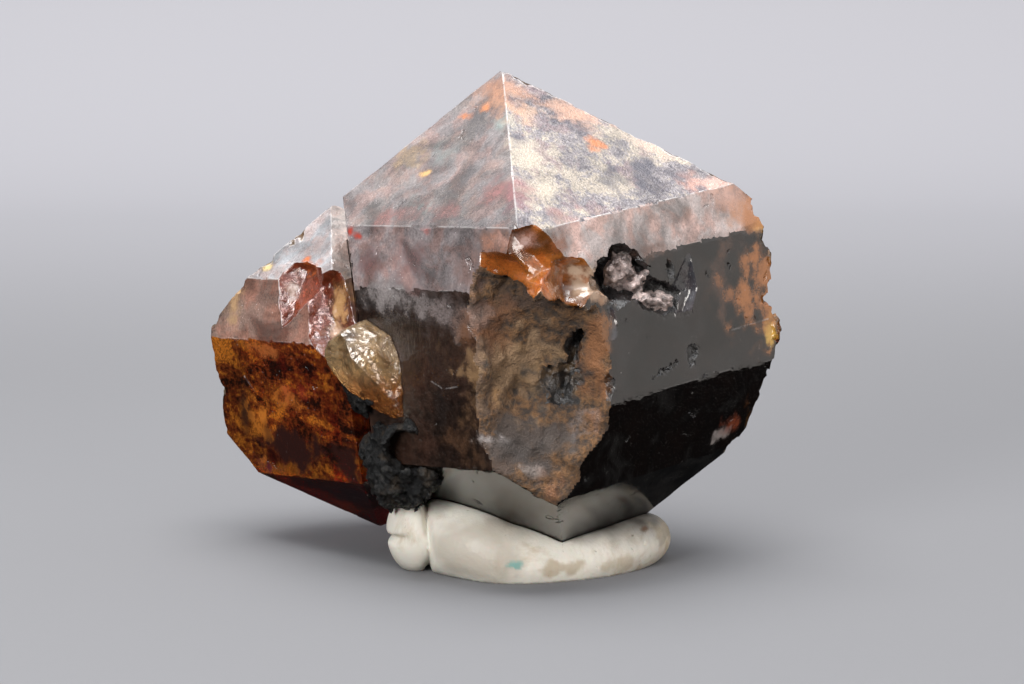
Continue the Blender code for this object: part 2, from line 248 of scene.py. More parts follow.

# Soft spots of colour, some of them painted glints, painted inner glow and painted shade: middle in the row
# frame, radii, colour, strength, raggedness, size of the rags
ORANGE, AMBER, RED, ROSE = (0.7, 0.22, 0.06), (0.7, 0.42, 0.16), (0.62, 0.07, 0.04), (0.36, 0.15, 0.13)
SAGE, SLATE, CREAM, TAN = (0.27, 0.31, 0.29), (0.075, 0.07, 0.09), (0.54, 0.46, 0.36), (0.45, 0.31, 0.18)
SOOT, LILAC, RUST = (0.015, 0.013, 0.012), (0.22, 0.185, 0.175), (0.26, 0.1, 0.035)
STAINS_AND_PAINTED_LIGHT = [
    ((0.2, -1.2, 25.4), (2.4, 2.4, 1.5), (0.52, 0.25, 0.14), 0.62, 0.4, 0.8),
    # These two orange spots below the apex are painted glints
    ((-0.21, -1.93, 24.38), (0.6, 0.6, 0.3), ORANGE, 0.8, 0.4, 0.4),
    ((-1.25, -1.39, 23.92), (0.8, 0.6, 0.25), ORANGE, 0.6, 0.5, 0.4),
    ((-4.08, -1.03, 21.89), (1.8, 1.4, 0.9), TAN, 0.5, 0.7, 0.6),
    ((-3.25, -3.1, 21.13), (0.5, 0.45, 0.25), AMBER, 0.9, 0.4, 0.3),
    ((0.68, -3.89, 23.74), (0.8, 0.9, 0.6), SAGE, 0.75, 0.3, 0.5),
    ((0.33, -7.91, 20.7), (1.4, 1.3, 0.9), ROSE, 0.5, 0.5, 0.7),
    ((-5.3, -3.89, 18.94), (2.0, 1.4, 0.6), ROSE, 0.5, 0.6, 0.7),
    ((-2.0, -6.6, 19.4), (1.8, 1.4, 0.6), ROSE, 0.45, 0.6, 0.7),
    ((-2.38, -2.75, 22.08), (1.4, 1.3, 1.0), SAGE, 0.45, 0.5, 0.8),
    ((-3.67, -4.93, 19.53), (1.3, 1.4, 0.9), SAGE, 0.4, 0.5, 0.8),
    # These two red spots are painted glints
    ((-7.22, -2.57, 18.1), (0.35, 0.5, 0.3), RED, 0.75, 0.3, 0.3),
    ((-6.78, -3.06, 17.84), (0.3, 0.4, 0.25), RED, 0.75, 0.3, 0.3),
    ((-3.18, -6.64, 18.56), (0.45, 0.4, 0.25), RED, 0.45, 0.5, 0.3),
    ((-6.08, -3.95, 16.87), (1.2, 1.4, 1.2), (0.26, 0.11, 0.1), 0.5, 0.5, 0.8),
    ((-4.06, -6.01, 16.94), (1.5, 1.5, 1.2), (0.24, 0.11, 0.1), 0.45, 0.5, 0.8),
    ((-1.0, -9.0, 17.0), (1.3, 1.3, 1.4), (0.3, 0.2, 0.18), 0.5, 0.5, 0.8),
    ((0.24, -10.18, 18.36), (1.5, 1.4, 1.0), (0.42, 0.2, 0.13), 0.6, 0.4, 0.7),
    ((-5.07, -5.18, 14.95), (2.6, 2.6, 1.3), (0.36, 0.32, 0.31), 0.7, 0.3, 0.6),
    ((-2.46, -7.77, 14.7), (2.4, 2.4, 1.3), (0.27, 0.22, 0.21), 0.66, 0.3, 0.6),
    ((-4.9, -5.0, 12.2), (2.0, 2.2, 1.6), (0.1, 0.045, 0.035), 0.5, 0.5, 0.9),
    ((-2.4, -7.6, 12.0), (1.5, 1.5, 1.8), (0.055, 0.03, 0.024), 0.5, 0.5, 0.9),
    ((-4.38, -5.23, 9.2), (1.2, 1.4, 1.5), (0.09, 0.075, 0.06), 0.6, 0.6, 0.5),
    ((-2.4, -7.2, 9.5), (0.8, 0.9, 1.2), SOOT, 0.55, 0.6, 0.6),
    ((-1.2, -8.27, 7.82), (1.7, 1.7, 1.2), (0.085, 0.042, 0.022), 0.6, 0.6, 0.6),
    ((-0.6, -8.3, 9.6), (1.0, 1.0, 1.8), (0.13, 0.07, 0.036), 0.62, 0.6, 0.5),
    ((-0.9, -8.8, 12.8), (0.9, 0.9, 3.0), (0.12, 0.062, 0.04), 0.55, 0.5, 0.6),
    ((2.2, -5.9, 22.4), (1.1, 1.6, 1.1), CREAM, 0.6, 0.7, 0.7),
    ((2.7, -7.6, 20.7), (0.8, 1.3, 0.7), CREAM, 0.7, 0.7, 0.6),
    ((1.6, -8.6, 20.3), (1.1, 1.4, 1.3), (0.24, 0.11, 0.12), 0.66, 0.6, 0.6),
    ((3.59, -8.9, 19.65), (1.4, 1.4, 0.6), (0.36, 0.19, 0.17), 0.62, 0.6, 0.6),
    ((1.6, -3.0, 24.2), (1.5, 1.6, 0.9), (0.6, 0.38, 0.25), 0.6, 0.6, 0.6),
    ((4.6, -0.9, 23.9), (3.0, 1.2, 0.9), (0.66, 0.38, 0.26), 0.66, 0.5, 0.7),
    ((8.6, -0.5, 22.2), (2.2, 1.1, 0.7), (0.62, 0.46, 0.36), 0.62, 0.5, 0.7),
    ((5.5, -2.4, 22.6), (0.8, 0.8, 0.8), ORANGE, 0.7, 0.5, 0.4),
    ((8.2, -2.6, 21.2), (1.7, 1.8, 0.9), SLATE, 0.75, 0.7, 0.7),
    ((6.4, -4.6, 21.0), (1.2, 1.4, 0.9), SLATE, 0.55, 0.8, 0.6),
    ((1.5, -4.9, 22.9), (0.7, 1.0, 1.1), SLATE, 0.66, 0.7, 0.5),
    ((10.45, -1.68, 20.6), (0.9, 1.2, 0.8), (0.5, 0.26, 0.2), 0.6, 0.6, 0.5),
    ((12.05, -0.9, 20.2), (1.6, 1.8, 1.0), (0.76, 0.48, 0.4), 0.7, 0.4, 0.5),
    ((13.0, -0.3, 18.9), (1.7, 1.9, 1.2), (0.6, 0.3, 0.18), 0.72, 0.4, 0.7),
    ((10.2, -2.6, 18.9), (0.7, 0.9, 0.9), (0.42, 0.24, 0.18), 0.5, 0.6, 0.6),
    ((5.4, -7.0, 18.3), (0.5, 0.8, 1.8), (0.38, 0.24, 0.14), 0.62, 0.4, 0.7),
    ((13.57, -0.52, 17.89), (0.5, 0.7, 0.3), SOOT, 0.9, 0.5, 0.3),
    # Painted orange glint on the thin right edge
    ((14.1, 0.3, 17.9), (0.5, 0.8, 0.5), (0.8, 0.4, 0.08), 0.9, 0.3, 0.3),
    ((14.4, 0.0, 15.0), (1.9, 2.6, 4.2), (0.5, 0.19, 0.06), 0.75, 0.9, 0.9),
    # Painted orange glint on the thin right edge
    ((14.8, 0.4, 12.2), (0.6, 0.9, 0.9), (0.8, 0.47, 0.1), 0.85, 0.3, 0.4),
    ((12.0, -1.8, 15.2), (1.4, 1.7, 2.8), (0.16, 0.075, 0.045), 0.6, 0.5, 0.9),
    ((8.0, -5.7, 17.4), (2.2, 2.2, 0.6), (0.2, 0.1, 0.07), 0.5, 0.5, 0.6),
    ((-0.17, -8.77, 14.2), (1.5, 1.7, 1.9), (0.21, 0.075, 0.018), 0.7, 0.5, 0.7),
    ((1.6, -7.8, 11.9), (2.3, 1.8, 1.3), (0.26, 0.15, 0.06), 0.66, 0.7, 0.7),
    # Dark band at the top of the hollow: painted shade under its roof
    ((2.6, -8.6, 15.6), (2.2, 1.6, 1.0), (0.06, 0.026, 0.012), 0.7, 0.5, 0.7),
    ((5.5, -8.2, 12.6), (0.85, 1.7, 3.4), (0.3, 0.115, 0.03), 0.85, 0.5, 0.6),
    ((0.9, -8.2, 11.9), (2.5, 2.6, 1.9), (0.3, 0.18, 0.09), 0.85, 0.9, 0.6),
    ((1.6, -8.9, 8.3), (2.1, 3.0, 1.8), (0.055, 0.034, 0.023), 0.95, 0.7, 0.6),
    ((3.5, -7.9, 10.8), (1.5, 2.4, 1.5), SOOT, 0.9, 0.9, 0.5),
    ((4.5, -8.6, 9.0), (1.2, 1.2, 0.6), LILAC, 0.6, 0.7, 0.6),
    ((3.2, -8.8, 8.0), (1.4, 1.2, 0.8), (0.11, 0.085, 0.07), 0.6, 0.7, 0.6),
    ((0.38, -8.4, 10.3), (0.45, 0.8, 0.6), (0.45, 0.24, 0.09), 0.8, 0.4, 0.4),
    ((0.0, -9.0, 8.2), (0.8, 0.8, 0.4), (0.45, 0.4, 0.38), 0.7, 0.8, 0.4),
    ((1.6, -8.9, 7.4), (1.5, 1.3, 0.9), (0.045, 0.035, 0.03), 0.66, 0.6, 0.6),
    ((2.2, -9.3, 6.6), (0.7, 0.7, 0.35), (0.42, 0.35, 0.31), 0.66, 0.7, 0.4),
    ((3.5, -10.0, 6.0), (1.3, 1.3, 1.1), RUST, 0.7, 0.5, 0.6),
    ((0.5, -9.4, 7.0), (1.2, 1.2, 0.6), (0.09, 0.045, 0.022), 0.7, 0.5, 0.5),
    ((1.6, -9.4, 18.6), (1.3, 1.9, 0.9), (0.82, 0.56, 0.5), 0.85, 0.3, 0.5),
    ((5.0, -8.4, 16.3), (1.5, 1.9, 1.4), (0.62, 0.44, 0.31), 0.9, 0.5, 0.5),
    ((3.4, -9.8, 18.2), (0.8, 1.0, 0.8), (0.3, 0.1, 0.04), 0.6, 0.5, 0.5),
    ((12.16, -1.24, 7.03), (0.85, 0.8, 0.45), (0.42, 0.37, 0.35), 0.9, 0.6, 0.4),
    ((12.8, -0.8, 7.6), (0.9, 1.0, 0.6), (0.3, 0.07, 0.03), 0.7, 0.5, 0.5),
    # The next four orange and red spots mix the side crystal's body colour with painted inner glow
    ((-12.45, 3.75, 7.0), (0.8, 0.8, 1.5), (0.62, 0.2, 0.03), 0.7, 0.9, 0.5),
    ((-11.2, 2.3, 8.2), (1.4, 1.4, 0.7), (0.52, 0.16, 0.03), 0.6, 0.9, 0.5),
    ((-12.1, 2.8, 11.0), (2.6, 2.6, 0.55), (0.5, 0.15, 0.04), 0.6, 0.6, 0.6),
    ((-10.3, 1.2, 8.9), (1.5, 1.5, 0.6), (0.42, 0.05, 0.03), 0.5, 0.7, 0.6),
    ((-7.4, -1.2, 5.6), (1.4, 1.6, 1.8), (0.03, 0.01, 0.008), 0.9, 0.4, 0.8),
    # Painted orange glint on the side crystal's A2 face
    ((-6.74, -3.1, 8.7), (0.4, 0.6, 1.0), (0.8, 0.38, 0.07), 0.85, 0.3, 0.4),
    ((-13.4, 4.6, 7.4), (0.8, 0.8, 2.2), (0.035, 0.014, 0.008), 0.75, 0.4, 0.8),
    ((-10.6, 1.9, 5.6), (3.6, 3.6, 1.4), (0.03, 0.01, 0.008), 0.95, 0.4, 0.8),
    ((-8.0, 0.5, 3.4), (3.8, 3.8, 1.5), (0.03, 0.01, 0.012), 0.85, 0.4, 0.8),
    ((-12.0, 4.0, 4.3), (1.3, 1.7, 0.8), (0.12, 0.02, 0.03), 0.7, 0.4, 0.6),
    ((-9.8, 1.6, 15.5), (1.2, 1.2, 0.7), (0.68, 0.17, 0.04), 0.8, 0.4, 0.5),
    ((-10.6, 2.1, 14.3), (0.6, 0.8, 0.8), (0.58, 0.44, 0.36), 0.7, 0.5, 0.4),
    ((-8.0, -0.4, 12.3), (1.0, 1.0, 0.5), (0.58, 0.38, 0.26), 0.66, 0.5, 0.4),
    ((-7.7, 0.0, 13.9), (0.8, 1.1, 1.7), (0.55, 0.3, 0.12), 0.8, 0.5, 0.5),
    ((-11.94, 3.95, 15.32), (0.5, 0.6, 0.35), (0.75, 0.55, 0.24), 0.75, 0.4, 0.3),
    ((-13.9, 5.0, 13.2), (0.8, 1.2, 1.4), (0.6, 0.38, 0.2), 0.66, 0.5, 0.5),
]
# Spots of colour on the putty, some of them painted shade, in the same columns
PUTTY_STAINS_AND_PAINTED_SHADE = [
    # These two dark spots are painted shade on the pad under the crystal
    ((3.4, 0.8, 2.4), (6.5, 4.9, 1.7), (0.03, 0.022, 0.016), 1.0, 0.1, 1.0),
    ((2.4, 0.8, 1.6), (5.0, 4.6, 1.5), (0.03, 0.022, 0.016), 1.0, 0.1, 1.0),
    # Painted shade on the middle of the roll, under the crystal's overhang
    ((-0.6, -5.6, 1.6), (2.6, 2.6, 1.9), (0.44, 0.385, 0.31), 0.72, 0.3, 1.6),
    ((3.9, -5.3, 0.8), (1.5, 1.1, 0.4), (0.5, 0.4, 0.27), 0.75, 0.6, 0.6),
    ((6.6, -3.6, 0.7), (1.3, 1.2, 0.35), (0.56, 0.46, 0.32), 0.6, 0.6, 0.6),
    ((1.4, -6.0, 1.05), (0.42, 0.9, 0.2), (0.16, 0.42, 0.38), 0.85, 0.4, 0.3),
    ((9.3, -0.6, 1.6), (0.9, 1.6, 1.0), (0.6, 0.5, 0.36), 0.6, 0.5, 0.5),
    ((8.15, -1.7, 2.1), (0.25, 0.7, 0.16), (0.16, 0.08, 0.04), 0.9, 0.2, 0.3),
    ((-3.4, -3.2, 3.5), (0.14, 0.5, 0.12), (0.2, 0.1, 0.05), 0.9, 0.2, 0.3),
    ((-0.45, -4.4, 1.5), (0.12, 1.2, 0.9), (0.42, 0.33, 0.24), 0.7, 0.2, 0.3),
]

# How far out each spot, whether real colour, painted glint or painted shade, is at full strength, where it
# ends and how far it is worked out, in its radii
SPOT_CORE, PUTTY_CORE, SPOT_END, SPOT_REACH = 0.1, 0.6, 1.25, 1.6

# Each stone's box in the row frame, as its low and high corners, and the grid cell that it is cut into
BOXES = {
    "main_crystal": ((-10.0, -13.0, 0.0), (15.8, 13.5, 26.8), 0.16),
    "side_crystal": ((-15.8, -3.5, 0.3), (-1.0, 11.5, 19.5), 0.13),
    "groove_matrix": ((-9.0, -6.5, 1.0), (-1.5, 0.5, 13.5), 0.1),
    "amber_chip": ((-9.0, -6.5, 8.5), (-3.0, -1.0, 15.0), 0.08),
    "putty_strip": ((-6.0, -6.8, 0.0), (10.2, 5.0, 5.2), 0.12),
}
CRACK_MARGIN, CRACK_CELL = 0.6, 0.07
COARSER = 1.0
# Each crystal's glass: absorption colour, absorption a mm
MAIN_GLASS = ((0.85, 0.52, 0.0), 2.0)
SIDE_GLASS = ((0.93, 0.55, 0.05), 0.62)

LATTICE_SIZE = 64
LATTICE = np.random.default_rng(11).uniform(-1, 1, LATTICE_SIZE**3)


def bumps(points, size, seed=0):
    """Smooth noise from -1 to 1 with bumps about size mm wide."""
    scaled = points / size + np.array((5.17, 3.71, 9.13)) * seed
    floor = np.floor(scaled)
    part = scaled - floor
    part = part * part * (3 - 2 * part)
    low = floor.astype(np.int64) % LATTICE_SIZE
    high = (low + 1) % LATTICE_SIZE
    total = 0.0
    for x, share_x in ((low[:, 0], 1 - part[:, 0]), (high[:, 0], part[:, 0])):
        for y, share_y in ((low[:, 1], 1 - part[:, 1]), (high[:, 1], part[:, 1])):
            base = (x * LATTICE_SIZE + y) * LATTICE_SIZE
            along = LATTICE[base + low[:, 2]] * (1 - part[:, 2]) + LATTICE[base + high[:, 2]] * part[:, 2]
            total = total + share_x * share_y * along
    return total


def fractal(points, size, octaves=3, seed=0):
    """Several layers of bumps, each half as strong and half as wide as the one before."""
    total, share = 0.0, 1.0
    for octave in range(octaves):
        total = total + share * bumps(points, size, seed + octave)
        size, share = size / 2.1, share / 2
    return total


def smooth_step(value, low, high):
    part = np.clip((value - low) / (high - low), 0, 1)
    return part * part * (3 - 2 * part)


def turn_matrix(turn):
    """Columns are a turned frame's axes: about Z, then X, then Y, in degrees."""
    x, y, z = np.radians(turn)
    about_x = np.array([[1, 0, 0], [0, math.cos(x), -math.sin(x)], [0, math.sin(x), math.cos(x)]])
    about_y = np.array([[math.cos(y), 0, math.sin(y)], [0, 1, 0], [-math.sin(y), 0, math.cos(y)]])
    about_z = np.array([[math.cos(z), -math.sin(z), 0], [math.sin(z), math.cos(z), 0], [0, 0, 1]])
    return about_y @ about_x @ about_z


def outward(form, side, half):
    """The outward normal of a face. The pyramid {101} leans from the base plane by atan(c/a)."""
    tilt = math.pi / 2 if form is PRISM else math.atan(form * AXIAL_RATIO)
    around = math.radians(side)
    return (math.sin(tilt) * math.sin(around), -math.sin(tilt) * math.cos(around), half * math.cos(tilt))


def pair_table(pairs, size, missing):
    """A symmetric table of values by two makers' numbers."""
    table = np.full((size, size), missing, float)
    for (first, second), value in pairs.items():
        table[MAKERS.index(first), MAKERS.index(second)] = value
        table[MAKERS.index(second), MAKERS.index(first)] = value
    return table


WORN = pair_table(WORN_EDGES, len(MAKERS), 0.0)


class Shape:
    """A solid at many points: distance (below 0 inside), the nearest rival surface, and both makers."""

    def __init__(self, value, rival, maker, second):
        self.value, self.rival, self.maker, self.second = value, rival, maker, second
        self.worn = WORN[maker, second]
        self.lean = np.ones(len(value))

    def _rank(self, value, maker, same_wear=False, soft=0.0):
        """Lets one more surface compete; the greatest value makes the solid's surface."""
        if soft:
            apart = np.abs(self.value - value)
            rounding = soft / 4 * np.maximum(1 - apart / soft, 0)**2
        wins = value > self.value - 0.7 * soft
        near = ~wins & (value > self.rival)
        if not same_wear:
            self.worn = np.where(wins | near, WORN[np.where(wins, maker, self.maker),
                                                   np.where(wins, self.maker, maker)], self.worn)
        self.second = np.where(wins, self.maker, np.where(near, maker, self.second))
        self.rival = np.where(wins, self.value, np.maximum(self.rival, value))
        self.maker = np.where(wins, maker, self.maker)
        self.value = np.maximum(self.value, value)
        if soft:
            self.value = self.value + rounding

    def cut(self, tool, maker, soft=0.0):
        """Takes a tool away, given as distances, and rounds the new edges by soft mm."""
        self._rank(-tool, maker, soft=soft)
        return self

    def join(self, lump, maker):
        """Adds a lump, given as distances."""
        wins = lump < self.value
        apart = np.abs(self.value - lump)
        closest = np.minimum(self.value, lump)
        near = apart < closest - np.where(wins, closest - apart, self.rival)
        self.second = np.where(wins, self.maker, np.where(near, maker, self.second))
        self.maker = np.where(wins, maker, self.maker)
        self.rival = np.where(wins | near, closest - apart, self.rival)
        self.value = closest
        return self


class Crystal:
    """A crystal's faces as planes in its own frame, with its place in the row frame."""

    def __init__(self, name, middle, turn, faces, blunt_tip):
        self.name = name
        self.middle = np.add(STAND_POINT, middle)
        self.turn = turn_matrix(turn)
        rows = [(f"{name} {letter}{side}", outward(form, SIDES[side], half), distance)
                for letter, form, half, places in faces for side, distance in places.items()]
        rows.append((name + " tip", (0, 0, -1), blunt_tip))
        labels, normals, distances = zip(*rows)
        self.makers = np.array([MAKERS.index(label) for label in labels])
        self.normals = np.array(normals, float)
        self.distances = np.array(distances, float)
        self.spread = np.linalg.norm(self.normals[:, None] + self.normals[None], axis=2)
        self.lean = np.linalg.norm(np.cross(self.normals[:, None], self.normals[None]), axis=2)
        size = len(MAKERS)
        self.wear = pair_table({k: v[0] for k, v in ROUGH_EDGES.items()}, size, FINE_WEAR[0])
        self.wear_noise = pair_table({k: v[1] for k, v in ROUGH_EDGES.items()}, size, FINE_WEAR[1])

    def local(self, points):
        return (points - self.middle) @ self.turn

    def block(self, points):
        """Only the flat faces, with sharp edges."""
        return (self.local(points) @ self.normals.T - self.distances).max(axis=1)

    def solid(self, points):
        """The flat faces with their edges worn and chipped."""
        reach = self.local(points) @ self.normals.T - self.distances
        for face, step in STEPS:
            if face.startswith(self.name):
                reach[:, list(self.makers).index(MAKERS.index(face))] += step(self.local(points))
        rows = np.arange(len(points))
        first = reach.argmax(axis=1)
        value = reach[rows, first]
        reach[rows, first] = -np.inf
        other = reach.argmax(axis=1)
        rival = reach[rows, other]
        maker, second = self.makers[first], self.makers[other]
        near = value - rival < 1.6
        chips = np.zeros(len(points))
        chips[near] = fractal(points[near], 0.9, 3, 3)
        wear = self.wear[maker, second] + self.wear_noise[maker, second] * chips
        bevel = (value + rival) / np.maximum(self.spread[first, other], 0.3) + np.maximum(wear, 0)
        shape = Shape(value, rival, maker, second)
        bevel = np.where(near & (wear > 0), bevel, -9.0)
        rough = self.wear_noise[maker, second] > 2 * FINE_WEAR[1]
        shape._rank(np.where(rough, bevel, -9.0), MAKERS.index(self.name + " notch"), same_wear=True)
        shape.value = np.maximum(shape.value, bevel)
        shape.lean = np.maximum(self.lean[first, other], 0.15)
        return shape


def growth_step(corner, across, along, depth):
    """A low step on a face: the part beyond a corner point, across and along the face, lies deeper."""
    corner, across, along = np.array(corner), np.array(across), np.array(along)

    def step(local):
        beyond = np.minimum((local - corner) @ across, (local - corner) @ along)
        return depth * smooth_step(beyond, -0.01, 0.01)

    return step


STEPS = [
    ("main A2", growth_step((11.0, -0.9, -0.6), (0.7, 0.7, 0.0), (-0.19, -0.19, -0.96), 0.05)),
]

MAIN = Crystal("main", MAIN_MIDDLE, MAIN_TURN, MAIN_FACES, MAIN_BLUNT_TIP)
SIDE = Crystal("side", SIDE_MIDDLE, SIDE_TURN, SIDE_FACES, SIDE_BLUNT_TIP)


def ball(points, frame, middle, half_sizes, turn, roughness=0.0, ripple=0.0, ripple_size=0.6, seed=0):
    """Distance to an uneven ball placed in a crystal's frame, or in the stand point's if frame is None."""
    if frame is None:
        local = (points - np.add(STAND_POINT, middle)) @ turn_matrix(turn)
    else:
        local = (frame.local(points) - middle) @ turn_matrix(turn)
    half = np.array(half_sizes)
    unit = local / half
    radius = np.linalg.norm(unit, axis=1) + 1e-9
    steep = np.linalg.norm(unit / half, axis=1) + 1e-9
    value = radius * (radius - 1) / steep
    near = np.abs(value) < 0.5 + 2 * ripple + 3 * roughness * half.max()
    if roughness and near.any():
        swell = 1 + roughness * 1.4 * fractal(unit[near] / radius[near, None], 0.6, 3, seed)
        value[near] = radius[near] * (radius[near] - swell) / steep[near]
    if ripple and near.any():
        value[near] += ripple * fractal(points[near], ripple_size, 4, seed + 5)
    return value


def shard(points, frame, middle, half_sizes, turn, seed, ripple=0.0, ripple_size=0.6):
    """Distance to a many-sided shard, about as large as a ball of these half sizes."""
    local = (frame.local(points) - middle) @ turn_matrix(turn)
    planes = np.random.default_rng(seed + 400).normal(size=(SHARD_SIDES, 3))
    planes /= np.linalg.norm(planes, axis=1, keepdims=True) * half_sizes
    value = ((local @ planes.T - SHARD_SIZE) / np.linalg.norm(planes, axis=1)).max(axis=1)
    return value + ripple * fractal(points, ripple_size, 3, seed + 5)


def break_tool(points, frame, finish, middle, half, turn, rough, ripple, size, seed):
    """The hollow form that a break leaves: many-sided in glassy spots, round and uneven elsewhere."""
    if finish in FACETED:
        return shard(points, frame, middle, half, turn, seed, ripple / 2, size)
    return ball(points, frame, middle, half, turn, rough, ripple, size, seed)


def main_shape(points):
    shape = MAIN.solid(points)
    hollow = np.full(len(points), 99.0)
    others = []
    for seed, (name, finish, middle, half, turn, rough, ripple, size) in enumerate(BREAKS):
        if name != "main":
            continue
        tool = break_tool(points, MAIN, finish, middle, half, turn, rough, ripple, size, seed)
        if finish == "hollow":
            apart = np.abs(hollow - tool)
            melted = np.maximum(HOLLOW_BLEND - apart, 0)**2 / (4 * HOLLOW_BLEND)
            hollow = np.minimum(hollow, tool) - melted
        else:
            others.append((tool, finish))
    local = MAIN.local(points)
    roof = 0.85 * (local[:, 2] - ROOF[0] + ROOF[1] * local[:, 0]) + 0.3 * fractal(points, 1.2, 4, 95)
    shape.cut(np.maximum(hollow, roof), MAKERS.index("main hollow"), soft=HOLLOW_RIM)
    for tool, finish in others:
        shape.cut(tool, MAKERS.index("main " + finish))
    for seed, (finish, middle, half, turn, rough, ripple, size) in enumerate(LUMPS):
        lump = ball(points, MAIN, middle, half, turn, rough, ripple, size, seed + 70)
        shape.join(lump, MAKERS.index("main " + finish))
    return shape


def side_shape(points):
    shape = SIDE.solid(points)
    for seed, (name, finish, middle, half, turn, rough, ripple, size) in enumerate(BREAKS):
        if name == "side":
            tool = break_tool(points, SIDE, finish, middle, half, turn, rough, ripple, size, seed)
            shape.cut(tool, MAKERS.index("side " + finish))
    shape.cut(MAIN.block(points) - CONTACT_GAP, MAKERS.index("side joint"))
    return shape


def lump_shape(value):
    """A solid with one kind of surface."""
    blank = np.zeros(len(value), int)
    return Shape(value, value - 9.0, blank, blank)


def matrix_value(points):
    value = np.full(len(points), 99.0)
    for seed, (middle, half, turn) in enumerate(MATRIX):
        value = np.minimum(value, ball(points, MAIN, middle, half, turn, 0.16, 0.34, 0.7, seed + 20))
    hole = ball(points, MAIN, *MATRIX_HOLE, 0.14, 0.25, 0.6, 31)
    return np.maximum(value, -hole)


def matrix_shape(points):
    value = matrix_value(points)
    value = np.maximum(value, CONTACT_GAP - MAIN.block(points))
    return lump_shape(np.maximum(value, CONTACT_GAP - SIDE.block(points)))


def chip_shape(points):
    value = shard(points, MAIN, *CHIP, 7, 0.07, 0.7)
    value = np.maximum(value, CONTACT_GAP - MAIN.block(points))
    value = np.maximum(value, CONTACT_GAP - SIDE.block(points))
    return lump_shape(np.maximum(value, CONTACT_GAP - matrix_value(points)))


# Healed cracks inside the side crystal: kind, middle in the row frame, half sizes, turn, thickness, waves
SHEETS = [
    ("rust", (-9.3, 2.9, 10.4), (2.5, 1.1), (0, 0, -43), 0.14, 0.35),
    ("rust", (-8.0, 1.7, 8.5), (1.5, 1.5), (15, 20, -50), 0.14, 0.45),
    ("rust", (-12.0, 5.2, 7.5), (0.8, 0.8), (0, 10, -40), 0.14, 0.3),
    ("air", (-10.0, 3.0, 6.6), (3.3, 1.9), (50, 14, -42), 0.12, 0.08),
    ("air", (-11.6, 5.0, 9.6), (1.6, 1.9), (-20, 0, -30), 0.12, 0.1),
    ("air", (-7.6, 3.6, 11.6), (1.8, 1.4), (70, -20, -40), 0.12, 0.15),
]


def sheet_shape(number):
    """A thin uneven leaf inside the side crystal, ragged at its rim."""
    kind, middle, half_sizes, turn, thickness, waves = SHEETS[number]

    def shape_of(points):
        local = (points - middle) @ turn_matrix(turn)
        across = np.hypot(local[:, 0] / half_sizes[0], local[:, 2] / half_sizes[1])
        rim = (across - 1) * min(half_sizes) + 0.35 * fractal(points, 0.9, 3, number + 80)
        leaf = np.abs(local[:, 1] + waves * bumps(points, 1.6, number + 84)) - thickness / 2
        value = np.maximum(np.maximum(leaf, rim), SIDE.block(points) + 0.12)
        return lump_shape(np.maximum(value, 0.15 - MAIN.block(points)))

    return shape_of


def smooth_line(points, steps):
    """Points on a smooth curve through the given ones, the half thickness included."""
    rows = np.array(points, float)
    padded = np.vstack([2 * rows[0] - rows[1], rows, 2 * rows[-1] - rows[-2]])
    made = []
    for a, b, c, d in zip(padded, padded[1:], padded[2:], padded[3:]):
        for t in np.arange(steps) / steps:
            made.append(0.5 * (2 * b + (c - a) * t + (2 * a - 5 * b + 4 * c - d) * t**2
                               + (3 * b - a - 3 * c + d) * t**3))
    made.append(rows[-1])
    return np.array(made)


def putty_shape(points):
    value = np.full(len(points), 99.0)
    for x, y, z, thickness in smooth_line(ROLL, 8):
        away = np.linalg.norm(points - np.add(STAND_POINT, (x, y, z)), axis=1)
        value = np.minimum(value, away - thickness)
    value = np.minimum(value, ball(points, None, *KNUCKLE))
    value = np.minimum(value, ball(points, None, *PAD))
    value = value + 0.05 * bumps(points, 1.7, 50)
    local = points - STAND_POINT
    crease = np.exp(-((local[:, 0] - CREASE - 0.12 * np.sin(points[:, 2] * 1.3)) / 0.18)**2)
    lobes = np.exp(-((local[:, 2] - LOBES - 0.3 * (local[:, 0] + 7.0)) / 0.2)**2)
    lobes = lobes * smooth_step(-local[:, 0], 6.3, 7.2)
    value = value + 0.28 * crease + 0.3 * lobes
    value = np.maximum(value, -points[:, 2])
    value = np.maximum(value, CONTACT_GAP - MAIN.block(points))
    value = np.maximum(value, CONTACT_GAP - SIDE.block(points))
    return lump_shape(np.maximum(value, CONTACT_GAP - matrix_value(points)))


def in_parts(shape_of, points, size=150000):
    """A solid's distances at many points, worked out a part at a time."""
    return np.concatenate([shape_of(points[i:i + size]).value for i in range(0, len(points), size)])


# Which makers are flat faces
FLAT = np.array([maker.split()[1][0] in "PSATQ" for maker in MAKERS])
# How strongly a vertex is drawn to the middle of its cell's crossings, which evens out an uneven surface
PULL_UNEVEN, PULL_FLAT = 0.04, 0.003
# Grid cells in one block of the rough pass
BLOCK = 5
CORNERS = ((-1, -1), (0, -1), (0, 0), (-1, 0))


def grid_lines(low, high, cell):
    count = int(math.ceil((high - low) / cell / BLOCK)) * BLOCK
    return low + cell * np.arange(count)


def sample(shape_of, lines):
    """Distances on the whole grid, worked out only near the surface."""
    centres = [line.reshape(-1, BLOCK).mean(axis=1) for line in lines]
    blocks = np.stack(np.meshgrid(*centres, indexing="ij"), axis=-1)
    rough = in_parts(shape_of, blocks.reshape(-1, 3)).reshape(blocks.shape[:3])
    half = 0.5 * BLOCK * np.linalg.norm([line[1] - line[0] for line in lines])
    near = np.abs(rough) < half * 1.2 + 0.35
    field, active = np.sign(rough), near
    for axis in range(3):
        field = np.repeat(field, BLOCK, axis=axis)
        active = np.repeat(active, BLOCK, axis=axis)
    place = np.argwhere(active)
    points = np.stack([line[place[:, axis]] for axis, line in enumerate(lines)], axis=-1)
    field[active] = in_parts(shape_of, points)
    return field


